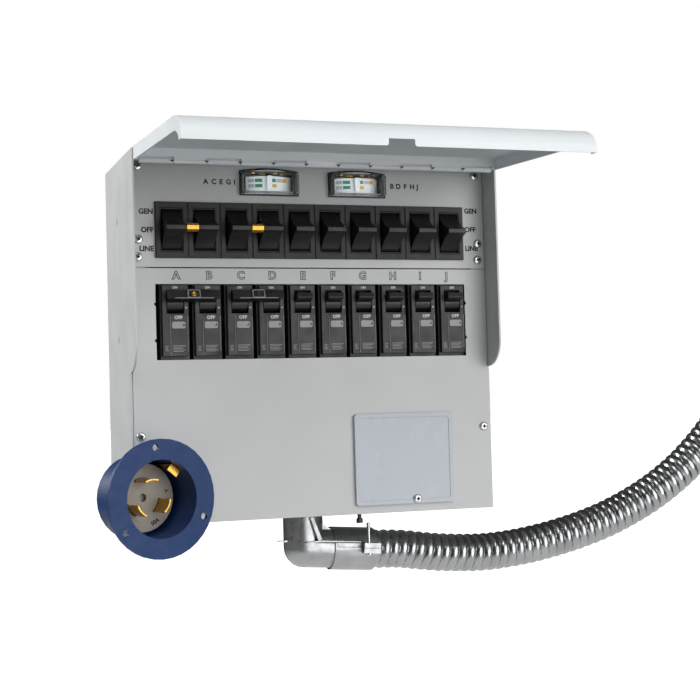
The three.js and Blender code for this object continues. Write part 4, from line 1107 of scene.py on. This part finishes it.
class MakeLegends(bpy.types.Operator):
    """Print the legends on the panels and breakers"""

    bl_idname = "transfer_switch.legends"
    bl_label = "Legends"

    def execute(self, context):
        y = FACE_Y - 0.02
        flat = Matrix()
        words = []
        for text, left, right in (("GEN", 108.9, 114.2), ("OFF", 93.0, 97.0), ("LINE", 76.8, 79.5)):
            words.append((text, -144.0, y, left, 4.5, False, "RIGHT", flat))
            words.append((text, 145.6, y, right, 4.5, False, "LEFT", flat))
        for letter, x in zip("ACEGI", (-97.2, -90.0, -83.6, -76.9, -71.5)):
            words.append((letter, x, y, 135.9, 4.4, False, "CENTER", flat))
        for letter, x in zip("BDFHJ", (75.2, 81.5, 88.1, 94.9, 100.1)):
            words.append((letter, x, y, 135.5, 4.4, False, "CENTER", flat))
        legend("panel_legends", words, "ink", "cabinet")
        letters = [
            (letter.upper(), x, y, 53.9, 6.9, True, "CENTER", flat)
            for letter, x in zip(GANGS, LETTER_X)
        ]
        legend("circuit_letters", letters, "ink", "cabinet")
        y = FACE_Y - 0.8 - 0.5 - 0.02
        marks = [("OFF", x + 2.4, y, 17.5, 2.9, False, "CENTER", flat) for x in BREAKER_X]
        marks += [("ON", x, FACE_Y - 0.82, 43.4, 2.0, False, "CENTER", flat) for x in BREAKER_X]
        legend("breaker_marks", marks, "mark", "cabinet")
        ratings = [
            ("A", x + 7.0, y - 0.26, 11.1, 2.2, False, "CENTER", flat) for x in BREAKER_X
        ]
        legend("breaker_ratings", ratings, "ink", "cabinet")
        return {"FINISHED"}


class MakeHidden(bpy.types.Operator):
    """Finish the CAD pieces that stay as they are"""

    bl_idname = "transfer_switch.carried_over"
    bl_label = "Inner pieces"

    def execute(self, context):
        finishes = {
            "hinge_pin": "zinc", "breaker_rail": "zinc", "elbow_locknut": "zinc",
            "meter_left_needle": "rocker", "meter_right_needle": "rocker",
        }
        for node, name in finishes.items():
            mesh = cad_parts[node].data
            mesh.materials.clear()
            mesh.materials.append(FINISH[name])
        return {"FINISHED"}


class MakeStage(bpy.types.Operator):
    """Lay the pale floor and set the soft studio lights"""

    bl_idname = "transfer_switch.stage"
    bl_label = "Stage"

    def execute(self, context):
        bm = bmesh.new()
        bmesh.ops.create_grid(bm, x_segments=1, y_segments=1, size=30)
        mesh = bpy.data.meshes.new("floor")
        bm.to_mesh(mesh)
        bm.free()
        mesh.transform(Matrix.Translation((0, 0, -sizes().floor_drop)))
        material, tree, shader = new_finish("floor_paper", colours().floor, 0.0, 0.8)
        shader.inputs["Emission Color"].default_value = (1, 1, 1, 1)
        shader.inputs["Emission Strength"].default_value = 1.0
        vary_colour(tree, shader, noise(tree, 2, 2), colours().floor, 0.01)
        mesh.materials.append(material)
        floor = link("floor", mesh)
        floor.visible_diffuse = False
        floor.visible_glossy = False
        world = bpy.data.worlds.new("Studio")
        world.use_nodes = True
        tree = world.node_tree
        room = tree.nodes["Background"]
        room.inputs["Color"].default_value = (1, 1, 1, 1)
        room.inputs["Strength"].default_value = 0.28
        backdrop = tree.nodes.new("ShaderNodeBackground")
        backdrop.inputs["Strength"].default_value = 1.0
        backdrop.inputs["Color"].default_value = (1, 1, 1, 1)
        seen = tree.nodes.new("ShaderNodeLightPath")
        either = tree.nodes.new("ShaderNodeMixShader")
        tree.links.new(seen.outputs["Is Camera Ray"], either.inputs["Fac"])
        ahead = tree.nodes.new("ShaderNodeTexCoord")
        axes = tree.nodes.new("ShaderNodeSeparateXYZ")
        tree.links.new(ahead.outputs["Generated"], axes.inputs["Vector"])
        sweep = tree.nodes.new("ShaderNodeMapRange")
        for socket, value in (("From Min", -0.15), ("From Max", -0.45), ("To Min", 0.08), ("To Max", 1.3)):
            sweep.inputs[socket].default_value = value
        tree.links.new(axes.outputs["Z"], sweep.inputs["Value"])
        mirrored = tree.nodes.new("ShaderNodeBackground")
        tree.links.new(sweep.outputs["Result"], mirrored.inputs["Strength"])
        inside = tree.nodes.new("ShaderNodeMixShader")
        tree.links.new(seen.outputs["Is Glossy Ray"], inside.inputs["Fac"])
        tree.links.new(room.outputs["Background"], inside.inputs[1])
        tree.links.new(mirrored.outputs["Background"], inside.inputs[2])
        tree.links.new(inside.outputs["Shader"], either.inputs[1])
        tree.links.new(backdrop.outputs["Background"], either.inputs[2])
        tree.links.new(either.outputs["Shader"], tree.nodes["World Output"].inputs["Surface"])
        context.scene.world = world
        context.scene.view_settings.view_transform = "Standard"
        for name, place, aim, size, power in (
            ("Key", (1.1, -2.4, 0.1), (0, -0.1, 0), 2.6, 55),
            ("Top", (-0.4, -1.7, 1.9), (0, -0.2, 0), 1.3, 20),
            ("Side", (-2.1, 0.9, 1.0), (0, -0.05, 0), 1.6, 64),
        ):
            data = bpy.data.lights.new(name, "AREA")
            data.shape = "DISK"
            data.size = size
            data.energy = power
            light = bpy.data.objects.new(name, data)
            light.location = place
            light.rotation_mode = "QUATERNION"
            light.rotation_quaternion = (Vector(aim) - Vector(place)).to_track_quat("-Z", "Y")
            context.scene.collection.objects.link(light)
        return {"FINISHED"}


OPERATORS = (
    MakeCamera, MakeWhip, MakeCabinet, MakeLid, MakeSwitches, MakeBreakers, MakeMeters, MakeElbow,
    MakeInlet, MakeScrews, MakeLegends, MakeHidden, MakeStage,
)


class TransferSwitchPanel(bpy.types.Panel):
    """The pieces of the transfer switch, in the order they are made"""

    bl_idname = "VIEW3D_PT_transfer_switch"
    bl_label = "Transfer Switch"
    bl_space_type = "VIEW_3D"
    bl_region_type = "UI"
    bl_category = "Transfer Switch"

    def draw(self, context):
        layout = self.layout
        for operator in OPERATORS:
            layout.operator(operator.bl_idname)
        for group in (sizes(), colours()):
            box = layout.box()
            for name in group.__annotations__:
                box.prop(group, name)


CLASSES = (TransferSwitchSizes, TransferSwitchColours, *OPERATORS, TransferSwitchPanel)


def register():
    for item in CLASSES:
        bpy.utils.register_class(item)
    bpy.types.Scene.transfer_switch_sizes = PointerProperty(type=TransferSwitchSizes)
    bpy.types.Scene.transfer_switch_colours = PointerProperty(type=TransferSwitchColours)


def unregister():
    del bpy.types.Scene.transfer_switch_colours
    del bpy.types.Scene.transfer_switch_sizes
    for item in reversed(CLASSES):
        bpy.utils.unregister_class(item)


def main():
    register()
    make_finishes()
    for operator in OPERATORS:
        group, name = operator.bl_idname.split(".")
        getattr(getattr(bpy.ops, group), name)()


if __name__ == "__main__":
    main()
